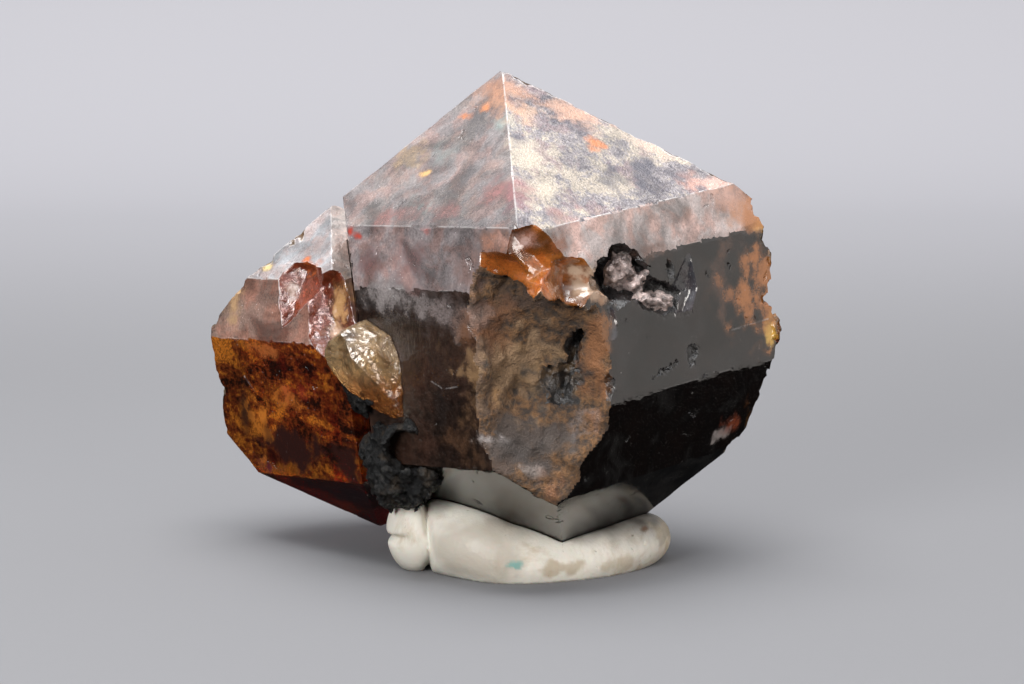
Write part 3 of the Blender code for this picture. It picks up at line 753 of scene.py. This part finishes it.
def crossings(shape_of, lines, field):
    """Where the surface crosses the grid's edges along each axis: edge, point, whether it leads outward."""
    for axis in range(3):
        start, end = [slice(None)] * 3, [slice(None)] * 3
        start[axis], end[axis] = slice(0, -1), slice(1, None)
        before, after = field[tuple(start)], field[tuple(end)]
        edge = np.argwhere((before > 0) != (after > 0))
        a = before[tuple(edge.T)]
        b = after[tuple(edge.T)]
        near = np.stack([line[edge[:, i]] for i, line in enumerate(lines)], axis=-1)
        step = lines[axis][1] - lines[axis][0]
        low, high = np.zeros(len(edge)), np.ones(len(edge))
        outward_bound = b > 0
        for _ in range(3):
            part = np.clip(low + (high - low) * a / (a - b), low, high)
            point = near.copy()
            point[:, axis] += step * part
            found = in_parts(shape_of, point)
            same = (found > 0) == (a > 0)
            low, high = np.where(same, part, low), np.where(same, high, part)
            a, b = np.where(same, found, a), np.where(same, b, found)
        yield axis, edge, point, outward_bound


def slopes(shape_of, points, reach=0.012):
    """The outward direction of the surface at points on it."""
    here = in_parts(shape_of, points)
    slope = np.empty_like(points)
    for axis in range(3):
        moved = points.copy()
        moved[:, axis] += reach
        slope[:, axis] = in_parts(shape_of, moved) - here
    return slope / (np.linalg.norm(slope, axis=1, keepdims=True) + 1e-12)


def skin(shape_of, low, high, cell):
    """Dual contouring: one vertex in each cell that the surface passes, one quad for each crossed edge."""
    lines = [grid_lines(low[axis] - cell, high[axis] + 2 * cell, cell) for axis in range(3)]
    field = sample(shape_of, lines)
    counts = np.array([len(line) for line in lines])
    strides = np.array([counts[1] * counts[2], counts[2], 1])
    quads, points, normals, cells = [], [], [], []
    for axis, edge, point, outward_bound in crossings(shape_of, lines, field):
        first, second = (axis + 1) % 3, (axis + 2) % 3
        around = []
        for shift_first, shift_second in CORNERS:
            cell_at = edge.copy()
            cell_at[:, first] += shift_first
            cell_at[:, second] += shift_second
            around.append(cell_at @ strides)
        around = np.stack(around, axis=1)
        quads.append(np.where(outward_bound[:, None], around, around[:, ::-1]))
        cells.append(around)
        points.append(point)
        normals.append(slopes(shape_of, point))
    quads, cells = np.concatenate(quads), np.concatenate(cells)
    points, normals = np.concatenate(points), np.concatenate(normals)
    used, index = np.unique(cells.ravel(), return_inverse=True)
    index = index.reshape(cells.shape)
    spread = index.ravel()
    of_edge = np.repeat(np.arange(len(cells)), 4)
    number = np.bincount(spread, minlength=len(used))
    middle = np.stack([np.bincount(spread, points[of_edge, i], len(used)) for i in range(3)], -1)
    middle /= number[:, None]
    n = normals[of_edge]
    offset = ((points[of_edge] - middle[spread]) * n).sum(axis=1)
    square = np.empty((len(used), 3, 3))
    right = np.empty((len(used), 3))
    for i in range(3):
        right[:, i] = np.bincount(spread, n[:, i] * offset, len(used))
        for j in range(3):
            square[:, i, j] = np.bincount(spread, n[:, i] * n[:, j], len(used))
    uneven = ~FLAT[shape_of(points).maker]
    uneven = np.bincount(spread, uneven[of_edge], len(used)) > 0
    square += np.where(uneven, PULL_UNEVEN, PULL_FLAT)[:, None, None] * np.eye(3)
    placed = middle + np.linalg.solve(square, right[:, :, None])[:, :, 0]
    corner = np.stack(np.unravel_index(used, counts), axis=-1)
    low_corner = np.stack([lines[i][corner[:, i]] for i in range(3)], axis=-1)
    placed = np.clip(placed, low_corner - 0.1 * cell, low_corner + 1.1 * cell)
    return placed, np.searchsorted(used, quads), points


def stain_and_light_layer(points, stains_and_light, core):
    """Colour and strength of the soft spots, real ones and painted glints, glow and shade, at many points,
    at full strength out to core of their radii.
    """
    colour, strength = np.zeros((len(points), 3)), np.zeros(len(points))
    for seed, (middle, radii, tint, amount, ragged, size) in enumerate(stains_and_light):
        away = np.linalg.norm((points - middle) / radii, axis=1)
        near = away < SPOT_REACH + ragged
        if not near.any():
            continue
        rag = away[near] + ragged * fractal(points[near], size, 3, seed + 60)
        cover = amount * (1 - smooth_step(rag, core, SPOT_END))
        colour[near] += (np.array(tint) - colour[near]) * np.maximum(
            cover, np.where(strength[near] > 0.02, cover, 1.0))[:, None]
        strength[near] = 1 - (1 - strength[near]) * (1 - cover)
    return np.concatenate([colour, strength[:, None]], axis=1)


def put(mesh, name, kind, domain, values):
    layer = mesh.attributes.new(name, kind, domain)
    key = "color" if kind == "FLOAT_COLOR" else "value"
    layer.data.foreach_set(key, np.ascontiguousarray(values, np.float32).ravel())


def add_object(name, data):
    """A new object in the scene, with its mesh, light or camera."""
    item = bpy.data.objects.new(name, data)
    bpy.context.scene.collection.objects.link(item)
    return item


def make_mesh(name, vertices, quads):
    mesh = bpy.data.meshes.new(name)
    mesh.vertices.add(len(vertices))
    mesh.vertices.foreach_set("co", (vertices * MM).astype(np.float32).ravel())
    mesh.loops.add(quads.size)
    mesh.loops.foreach_set("vertex_index", quads.astype(np.int32).ravel())
    mesh.polygons.add(len(quads))
    mesh.polygons.foreach_set("loop_start", np.arange(0, quads.size, 4, dtype=np.int32))
    mesh.update(calc_edges=True)
    mesh.validate()
    return mesh


def stone(name, shape_of, box, stains_and_light=(), core=SPOT_CORE, flat=True):
    """A stone's mesh object with the attributes that its material reads."""
    low, high, cell = box
    vertices, quads, seeds = skin(shape_of, low, high, cell * COARSER)
    mesh = make_mesh(name, vertices, quads)
    at_vertices, at_faces = shape_of(vertices), shape_of(seeds)
    finish = [FINISHES[MAKERS[maker]] for maker in range(len(MAKERS))]
    for key, column in (("veil", 0), ("rough", 2), ("frost_and_glow", 3), ("grain", 4)):
        table = np.array([row[column] for row in finish])
        put(mesh, key, "FLOAT", "FACE", table[at_faces.maker])
    tints = np.array([(*row[1], 1.0) for row in finish])
    put(mesh, "tint", "FLOAT_COLOR", "FACE", tints[at_faces.maker])
    gap = np.clip((at_vertices.value - at_vertices.rival) / at_vertices.lean, 0, 3)
    put(mesh, "ridge", "FLOAT", "POINT", gap)
    put(mesh, "worn", "FLOAT", "POINT", at_vertices.worn)
    # Spots of colour, painted glints, glow and shade included
    put(mesh, "stain_and_painted_light", "FLOAT_COLOR", "POINT", stain_and_light_layer(vertices, stains_and_light, core))
    uneven = [number for number, maker in enumerate(MAKERS) if maker.split()[1] in UNEVEN]
    smooth = np.isin(at_faces.maker, uneven) if flat else np.ones(len(quads), bool)
    mesh.polygons.foreach_set("use_smooth", smooth)
    item = add_object(name, mesh)
    print(name, len(quads) * 2, "triangles")
    return item


class Nodes:
    """Short calls for building a material's node tree."""

    def __init__(self, name):
        self.material = bpy.data.materials.new(name)
        self.material.use_nodes = True
        self.tree = self.material.node_tree
        self.shader = self.tree.nodes["Principled BSDF"]
        self.output = self.tree.nodes["Material Output"]
        self.place = self.add("ShaderNodeTexCoord").outputs["Object"]

    def add(self, kind, **settings):
        node = self.tree.nodes.new(kind)
        for key, value in settings.items():
            setattr(node, key, value)
        return node

    def set(self, node, key, value):
        socket = node.inputs[key]
        if isinstance(value, bpy.types.NodeSocket):
            self.tree.links.new(value, socket)
        else:
            socket.default_value = value

    def attribute(self, name):
        return self.add("ShaderNodeAttribute", attribute_name=name).outputs

    def number(self, name):
        return self.attribute(name)["Fac"]

    def math(self, operation, a, b=0.0, clamp=False):
        node = self.add("ShaderNodeMath", operation=operation, use_clamp=clamp)
        self.set(node, 0, a)
        self.set(node, 1, b)
        return node.outputs[0]

    def times(self, a, b):
        return self.math("MULTIPLY", a, b)

    def plus(self, a, b, clamp=False):
        return self.math("ADD", a, b, clamp)

    def minus(self, a, b, clamp=False):
        return self.math("SUBTRACT", a, b, clamp)

    def greater(self, a, b, clamp=False):
        return self.math("MAXIMUM", a, b, clamp)

    def looks(self, **values):
        """Sets the shader's sockets, named with _ for a space, to values or to other nodes' results."""
        for key, value in values.items():
            self.set(self.shader, key.replace("_", " "), value)

    def ramp(self, value, low, high, to_low=0.0, to_high=1.0):
        node = self.add("ShaderNodeMapRange", interpolation_type="SMOOTHSTEP")
        self.set(node, "Value", value)
        for key, number in (("From Min", low), ("From Max", high), ("To Min", to_low), ("To Max", to_high)):
            self.set(node, key, number)
        return node.outputs["Result"]

    def mix(self, share, a, b, blend="MIX"):
        node = self.add("ShaderNodeMix", data_type="RGBA", blend_type=blend)
        self.set(node, 0, share)
        for slot, value in ((6, a), (7, b)):
            if not isinstance(value, bpy.types.NodeSocket):
                value = (*value, 1.0)
            self.set(node, slot, value)
        return node.outputs[2]

    def scale(self, colour, amount):
        """A colour made darker or lighter by an amount."""
        node = self.add("ShaderNodeVectorMath", operation="SCALE")
        self.set(node, 0, colour)
        self.set(node, "Scale", amount)
        return node.outputs[0]

    def noise(self, per_mm, detail=3.0, rough=0.55, distortion=0.0, vector=None):
        node = self.add("ShaderNodeTexNoise")
        self.set(node, "Vector", vector or self.place)
        self.set(node, "Scale", per_mm / MM)
        self.set(node, "Detail", detail)
        self.set(node, "Roughness", rough)
        self.set(node, "Distortion", distortion)
        return node.outputs["Fac"]

    def stretched(self, turn, stretch):
        """The place turned and then stretched, for scratches and streaks."""
        node = self.add("ShaderNodeMapping")
        self.set(node, "Vector", self.place)
        node.inputs["Rotation"].default_value = [math.radians(angle) for angle in turn]
        node.inputs["Scale"].default_value = stretch
        return node.outputs["Vector"]

    def vector(self, operation, *values):
        node = self.add("ShaderNodeVectorMath", operation=operation)
        for number, value in enumerate(values):
            self.set(node, number, value)
        return node.outputs

    def away(self, start, end):
        """Distance in mm to the line between two points."""
        along = Vector(end) - Vector(start)
        place = self.vector("SCALE", self.place)[0]
        place.node.inputs["Scale"].default_value = 1 / MM
        place = self.vector("SUBTRACT", place, start)[0]
        share = self.vector("DOT_PRODUCT", place, along / along.length_squared)["Value"]
        nearest = self.vector("SCALE", tuple(along))[0]
        self.set(nearest.node, "Scale", self.plus(share, 0.0, True))
        return self.vector("DISTANCE", place, nearest)["Value"]

    def bump(self, height, depth_mm, below=None):
        node = self.add("ShaderNodeBump")
        self.set(node, "Height", height)
        self.set(node, "Distance", depth_mm * MM)
        if below is not None:
            self.set(node, "Normal", below)
        return node.outputs["Normal"]

    def absorb(self, colour, density_per_mm):
        node = self.add("ShaderNodeVolumeAbsorption")
        node.inputs["Color"].default_value = (*colour, 1.0)
        node.inputs["Density"].default_value = density_per_mm / MM
        self.tree.links.new(node.outputs[0], self.output.inputs["Volume"])


ZIRCON_IOR = 1.93


# Fine white lines on the main crystal, the one along T2 a painted highlight: start and end in the row
# frame, half width in mm, strength
MAIN_MARKS_AND_HIGHLIGHT = [
    ((-2.9, -6.9, 10.85), (-2.4, -7.4, 10.6), 0.07, 0.35),
    ((-2.2, -7.6, 10.6), (-1.6, -8.2, 10.8), 0.06, 0.35),
    ((-4.95, -4.75, 9.45), (-3.8, -5.85, 8.35), 0.07, 0.5),
    ((14.72, 0.09, 13.02), (12.7, -1.96, 12.75), 0.08, 0.35),
    # A line of painted highlight along the T2 edge
    ((6.5, -6.5, 6.0), (10.3, -2.8, 8.4), 0.08, 0.4),
    ((11.3, -2.0, 21.1), (11.8, -1.3, 20.7), 0.12, 0.7),
]
# The side crystal's crack, drawn as bright lines: painted glints on a real crack, in the same columns
SIDE_CRACK_GLINTS = [
    ((-13.35, 4.35, 9.2), (-12.55, 3.6, 8.1), 0.13, 0.75),
    ((-12.55, 3.6, 8.1), (-8.5, -0.5, 6.4), 0.06, 0.3),
]


# Mottling: dark, middle and bright colours, and the blush over them. FROST is the main crystal's cream and
# slate frosting; EMBER is the side crystal's orange-red body colour, with painted inner glow in its bright
# colour
FROST = ((0.055, 0.048, 0.072), (0.22, 0.2, 0.22), (0.46, 0.39, 0.31), (0.2, 0.115, 0.13))
EMBER = ((0.026, 0.008, 0.004), (0.25, 0.05, 0.012), (0.74, 0.23, 0.028), (0.12, 0.01, 0.005))


def zircon_material(name, glass, marks_and_glints, mottling):
    """Clear zircon under its veil, frosting, coloured spots, worn edges and matte breaks. Some spots are
    painted glints and painted shade, some white lines are a painted highlight and painted crack glints, and
    the side crystal's orange-red mottling holds painted inner glow.
    """
    m = Nodes(name)
    cloud = m.noise(0.33, 4.0, 0.6, 0.6)
    fine = m.noise(2.6, 4.0, 0.65)
    speck = m.noise(9.0, 2.0, 0.6)
    streaks = m.noise(1.0, 4.0, 0.6, 0.4, m.stretched((0, -38, 20), (5.5, 1.6, 0.55)))
    scratches = m.ramp(streaks, 0.62, 0.75)
    tint = m.attribute("tint")["Color"]
    colour = m.scale(tint, m.ramp(cloud, 0.3, 0.7, 0.62, 1.45))
    colour = m.scale(colour, m.ramp(speck, 0.3, 0.7, 0.8, 1.25))
    blush = m.mix(m.ramp(m.noise(0.75, 3.0, 0.6, 0.3), 0.38, 0.6), (1.1, 0.92, 0.86), (0.95, 1.01, 1.03))
    colour = m.mix(1.0, colour, blush, "MULTIPLY")
    # With EMBER the bright colour is painted inner glow over the side crystal's body colour
    dark, middle, bright, mauve_colour = mottling
    slanted = m.stretched((0, 40, 0), (0.7, 1.0, 1.9)) if mottling is EMBER else m.place
    mottle_pattern = m.plus(m.times(m.noise(0.3, 5.0, 0.7, 0.25, slanted), 0.72),
                     m.times(m.noise(3.5, 4.0, 0.75, 0.3), 0.28))
    mottle_colour = m.mix(m.ramp(mottle_pattern, 0.44, 0.5), dark, middle)
    mottle_colour = m.mix(m.ramp(mottle_pattern, 0.5, 0.57), mottle_colour, bright)
    mauve = m.ramp(m.noise(0.5, 4.0, 0.65, 0.3), 0.53, 0.62, 0.0, 0.6)
    mottle_colour = m.mix(mauve, mottle_colour, mauve_colour)
    mottle_colour = m.scale(mottle_colour, m.ramp(speck, 0.35, 0.65, 0.6, 1.3))
    # Share of the mottling: frosting on the main crystal, body colour with painted inner glow on the side
    # crystal
    frost_and_glow = m.number("frost_and_glow")
    colour = m.mix(frost_and_glow, colour, mottle_colour)
    earth = m.scale(tint, m.ramp(fine, 0.32, 0.68, 0.25, 2.0))
    grain = m.number("grain")
    colour = m.mix(grain, colour, earth)
    # Spots of colour, among them painted glints, painted inner glow and painted shade
    stain_and_painted_light = m.attribute("stain_and_painted_light")
    mottled = m.plus(stain_and_painted_light["Alpha"], m.times(m.minus(fine, 0.5), 0.5))
    mottled = m.plus(mottled, m.times(m.minus(speck, 0.5), 0.45))
    stain_and_light_share = m.times(m.ramp(mottled, 0.0, 0.85), m.ramp(stain_and_painted_light["Alpha"], 0.0, 0.2))
    colour = m.mix(stain_and_light_share, colour, stain_and_painted_light["Color"])
    line = m.times(m.number("worn"), m.ramp(m.number("ridge"), 0.025, 0.075, 1.0, 0.0))
    line = m.times(line, m.ramp(m.noise(1.7, 4.0, 0.7), 0.36, 0.5))
    dust = m.times(m.ramp(m.noise(7.5, 1.0, 0.4), 0.74, 0.8, 0.0, 0.5), m.ramp(cloud, 0.4, 0.6))
    line = m.greater(line, m.times(dust, m.ramp(m.number("grain"), 0.0, 0.5, 1.0, 0.3)))
    # White marks, among them a painted highlight and painted crack glints
    for start, end, half_width, strength in marks_and_glints:
        mark_and_glint = m.ramp(m.away(start, end), half_width / 3, half_width, strength, 0.0)
        line = m.greater(line, m.times(mark_and_glint, m.ramp(fine, 0.36, 0.52, 0.15, 1.0)))
    colour = m.mix(line, colour, (0.76, 0.72, 0.7))
    veil = m.times(m.number("veil"), m.ramp(cloud, 0.3, 0.7, 0.7, 1.25))
    veil = m.plus(veil, m.times(scratches, 0.15))
    veil = m.greater(veil, m.times(stain_and_light_share, 0.9))
    veil = m.greater(veil, line, True)
    see_through = m.minus(1.0, veil, True)
    cover = m.ramp(veil, 0.02, 0.12)
    m.looks(Base_Color=m.mix(cover, (1.0, 0.97, 0.93), colour))
    m.looks(Transmission_Weight=see_through)
    rough = m.plus(m.number("rough"), m.times(m.minus(fine, 0.5), 0.12))
    rough = m.plus(rough, m.times(line, 0.2), True)
    m.looks(Roughness=rough)
    m.looks(IOR=ZIRCON_IOR)
    height = m.bump(m.times(scratches, m.number("veil")), 0.006)
    height = m.bump(speck, 0.006, height)
    matte = m.plus(m.times(frost_and_glow, 0.0 if mottling is EMBER else 1.0), grain)
    height = m.bump(m.times(speck, matte), 0.04, height)
    height = m.bump(m.times(fine, m.times(grain, grain)), 0.34, height)
    height = m.bump(m.ramp(m.noise(0.9, 4.0, 0.6, 0.4), 0.66, 0.72), -0.05, height)
    m.looks(Normal=height)
    m.absorb(*glass)
    return m.material


def matrix_material():
    """Black crust with grey glinting ridges."""
    m = Nodes("black_matrix")
    fine = m.noise(3.2, 6.0, 0.7)
    coarse = m.noise(0.9, 4.0, 0.6)
    colour = m.mix(m.ramp(fine, 0.5, 0.72), (0.006, 0.006, 0.006), (0.055, 0.05, 0.045))
    colour = m.mix(m.ramp(coarse, 0.55, 0.75), colour, (0.05, 0.035, 0.022))
    m.looks(Base_Color=colour)
    m.looks(Roughness=m.ramp(fine, 0.35, 0.65, 0.6, 0.22))
    m.looks(IOR=1.42)
    height = m.bump(fine, 0.25)
    m.looks(Normal=m.bump(m.noise(11.0, 3.0), 0.05, height))
    return m.material


def chip_material():
    """The amber-coloured chip: pale yellow glass above, orange-brown below, with crusted spots."""
    m = Nodes("amber_chip_glass")
    fine = m.noise(1.6, 5.0, 0.65)
    low = m.add("ShaderNodeSeparateXYZ")
    m.set(low, 0, m.place)
    height = m.plus(low.outputs["Z"], m.times(m.minus(fine, 0.5), 3 * MM))
    colour = m.mix(m.ramp(height, 9.6 * MM, 11.4 * MM), (0.42, 0.15, 0.04), (0.5, 0.35, 0.19))
    crust = m.ramp(m.noise(1.1, 5.0, 0.7), 0.6, 0.7, 0.0, 0.6)
    colour = m.mix(crust, colour, (0.4, 0.33, 0.27))
    m.looks(Base_Color=colour)
    clear = m.times(m.ramp(fine, 0.35, 0.65, 0.55, 0.92), m.minus(1.0, crust))
    m.looks(Transmission_Weight=clear)
    m.looks(Roughness=m.ramp(fine, 0.3, 0.7, 0.03, 0.16))
    m.looks(IOR=ZIRCON_IOR)
    m.looks(Normal=m.bump(fine, 0.06))
    m.absorb((0.95, 0.75, 0.4), 0.25)
    return m.material


def putty_material():
    """Off-white putty, dull and slightly waxy, with warm dirt in it and painted shade under the crystal."""
    m = Nodes("white_putty")
    dirt = m.noise(0.35, 6.0, 0.65, 0.5)
    colour = m.mix(m.ramp(dirt, 0.52, 0.72), (0.84, 0.79, 0.69), (0.6, 0.51, 0.38))
    colour = m.mix(m.ramp(m.noise(2.2, 4.0), 0.68, 0.78), colour, (0.42, 0.33, 0.24))
    # Spots of colour, among them painted shade on the pad and roll under the crystal
    stain_and_painted_light = m.attribute("stain_and_painted_light")
    colour = m.mix(stain_and_painted_light["Alpha"], colour, stain_and_painted_light["Color"])
    m.looks(Base_Color=colour)
    m.looks(Roughness=m.ramp(dirt, 0.3, 0.7, 0.42, 0.58))
    m.looks(Subsurface_Weight=0.12)
    m.looks(Subsurface_Scale=0.4 * MM)
    height = m.bump(m.noise(0.8, 3.0), 0.08)
    m.looks(Normal=m.bump(m.noise(7.0, 4.0), 0.015, height))
    return m.material


def sheet_material(kind):
    """An air-filled crack, which mirrors and bends light, or a crack healed with orange rust."""
    m = Nodes(kind + "_crack")
    if kind == "air":
        m.looks(Base_Color=(1, 1, 1, 1))
        m.looks(Transmission_Weight=1.0)
        m.looks(Roughness=m.ramp(m.noise(1.5, 4.0), 0.3, 0.7, 0.0, 0.12))
        m.looks(IOR=round(1 / ZIRCON_IOR, 3))
        m.looks(Normal=m.bump(m.noise(1.2, 4.0, 0.6), 0.1))
        return m.material
    fine = m.noise(1.3, 6.0, 0.7, 0.5)
    m.looks(Base_Color=m.mix(m.ramp(fine, 0.4, 0.62), (0.55, 0.1, 0.02), (0.95, 0.45, 0.08)))
    m.looks(Transmission_Weight=m.ramp(fine, 0.45, 0.6, 0.85, 0.2))
    m.looks(Roughness=0.3)
    m.looks(IOR=1.0)
    return m.material


# Camera: the photograph's view, 9 degrees down
CAMERA_TARGET = (1.19, -0.3, 11.85)
CAMERA_DOWN = 9.0
CAMERA_AWAY = 190.08
CAMERA_LENS = 126.5625


def make_camera():
    data = bpy.data.cameras.new("camera")
    data.lens = CAMERA_LENS
    data.sensor_width = 36
    data.clip_start, data.clip_end = 5 * MM, 5000 * MM
    camera = add_object("camera", data)
    down = math.radians(CAMERA_DOWN)
    back = Vector((0, -math.cos(down), math.sin(down)))
    camera.location = (Vector(CAMERA_TARGET) + back * CAMERA_AWAY) * MM
    camera.rotation_euler = (math.pi / 2 - down, 0, 0)
    bpy.context.scene.camera = camera


def softbox(name, middle, target, size, power, colour=(1, 1, 1)):
    data = bpy.data.lights.new(name, "AREA")
    data.shape = "RECTANGLE"
    data.size, data.size_y = size[0] * MM, size[1] * MM
    data.energy = power
    data.color = colour
    light = add_object(name, data)
    light.location = Vector(middle) * MM
    aim = Vector(target) - Vector(middle)
    light.rotation_mode = "QUATERNION"
    light.rotation_quaternion = aim.to_track_quat("-Z", "Y")


def make_stage():
    """A pale floor that curves up into a paler wall far behind."""
    front, back, side, bend, height = -400.0, 150.0, 500.0, 90.0, 420.0
    profile = [(front, 0.0), (back, 0.0)]
    for step in range(1, 13):
        turn = math.radians(90 * step / 12)
        profile.append((back + bend * math.sin(turn), bend * (1 - math.cos(turn))))
    profile.append((back + bend, height))
    count = len(profile)
    vertices = [(x * MM, y * MM, z * MM) for x in (-side, side) for y, z in profile]
    faces = [(i, count + i, count + i + 1, i + 1) for i in range(count - 1)]
    mesh = bpy.data.meshes.new("studio_floor")
    mesh.from_pydata(vertices, [], faces)
    mesh.shade_smooth()
    floor = add_object("studio_floor", mesh)
    m = Nodes("studio_paper")
    split = m.add("ShaderNodeSeparateXYZ")
    m.set(split, 0, m.place)
    back = m.ramp(split.outputs["Y"], 0.05, 0.2)
    m.looks(Base_Color=m.mix(back, (0.21, 0.21, 0.217), (0.385, 0.38, 0.4)))
    m.looks(Roughness=0.8)
    m.looks(Specular_IOR_Level=0.1)
    mesh.materials.append(m.material)
    floor.visible_glossy = False
    floor.visible_diffuse = False


def make_world():
    """Soft studio air: bright overhead, darker to the horizon and dark below, with a little blue in it."""
    world = bpy.data.worlds.new("studio_air")
    world.use_nodes = True
    tree = world.node_tree
    place = tree.nodes.new("ShaderNodeTexCoord")
    split = tree.nodes.new("ShaderNodeSeparateXYZ")
    ramp = tree.nodes.new("ShaderNodeValToRGB")
    tree.links.new(place.outputs["Generated"], split.inputs[0])
    half = tree.nodes.new("ShaderNodeMapRange")
    half.inputs["From Min"].default_value = -1.0
    tree.links.new(split.outputs["Z"], half.inputs["Value"])
    tree.links.new(half.outputs["Result"], ramp.inputs["Fac"])
    bands = [(-0.05, 0.012), (0.05, 0.05), (0.22, 0.16), (0.5, 0.55), (0.8, 0.9)]
    while len(ramp.color_ramp.elements) < len(bands):
        ramp.color_ramp.elements.new(0.5)
    for stop, (height, light) in zip(ramp.color_ramp.elements, bands):
        stop.position = 0.5 + 0.5 * height
        stop.color = (light * 0.97, light * 0.98, light * 1.04, 1)
    tree.links.new(ramp.outputs["Color"], tree.nodes["Background"].inputs["Color"])
    tree.nodes["Background"].inputs["Strength"].default_value = 1.0
    bpy.context.scene.world = world


def make_lights():
    stone_middle = (0, 0, 12)
    softbox("top_light", (-20, 0, 260), stone_middle, (220, 200), 0.84)
    softbox("wall_light", (0, -40, 330), (0, 240, 80), (300, 120), 0.35)
    softbox("front_fill", (-185, -270, 110), stone_middle, (140, 140), 0.88)
    softbox("right_fill", (230, -280, 50), stone_middle, (120, 120), 0.32, (1.0, 0.95, 0.9))
    softbox("right_card", (320, -10, 25), stone_middle, (420, 260), 0.2, (1.0, 0.94, 0.88))


def dress(item, material, node):
    item.data.materials.append(material)
    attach(item, "root")
    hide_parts(node)


def build():
    bpy.context.scene.view_settings.view_transform = "Standard"
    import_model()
    make_camera()
    make_stage()
    make_world()
    make_lights()
    main = stone("main_crystal", main_shape, BOXES["main_crystal"], STAINS_AND_PAINTED_LIGHT)
    dress(main, zircon_material("dark_zircon", MAIN_GLASS, MAIN_MARKS_AND_HIGHLIGHT, FROST), "zircon_crystal")
    side = stone("side_crystal", side_shape, BOXES["side_crystal"], STAINS_AND_PAINTED_LIGHT)
    dress(side, zircon_material("orange_zircon", SIDE_GLASS, SIDE_CRACK_GLINTS, EMBER), "zircon_crystal")
    sheets = {kind: sheet_material(kind) for kind in ("rust", "air")}
    for number, (kind, middle, half_sizes, *_) in enumerate(SHEETS):
        reach = np.full(3, max(half_sizes) + CRACK_MARGIN)
        box = (np.subtract(middle, reach), np.add(middle, reach), CRACK_CELL)
        crack = stone(f"{kind}_crack_{number + 1}", sheet_shape(number), box, flat=False)
        dress(crack, sheets[kind], "zircon_crystal")
    matrix = stone("groove_matrix", matrix_shape, BOXES["groove_matrix"], flat=False)
    dress(matrix, matrix_material(), "zircon_crystal")
    chip = stone("amber_chip", chip_shape, BOXES["amber_chip"])
    dress(chip, chip_material(), "zircon_crystal")
    putty = stone("putty_strip", putty_shape, BOXES["putty_strip"], PUTTY_STAINS_AND_PAINTED_SHADE, PUTTY_CORE, flat=False)
    dress(putty, putty_material(), "putty_rest")


build()
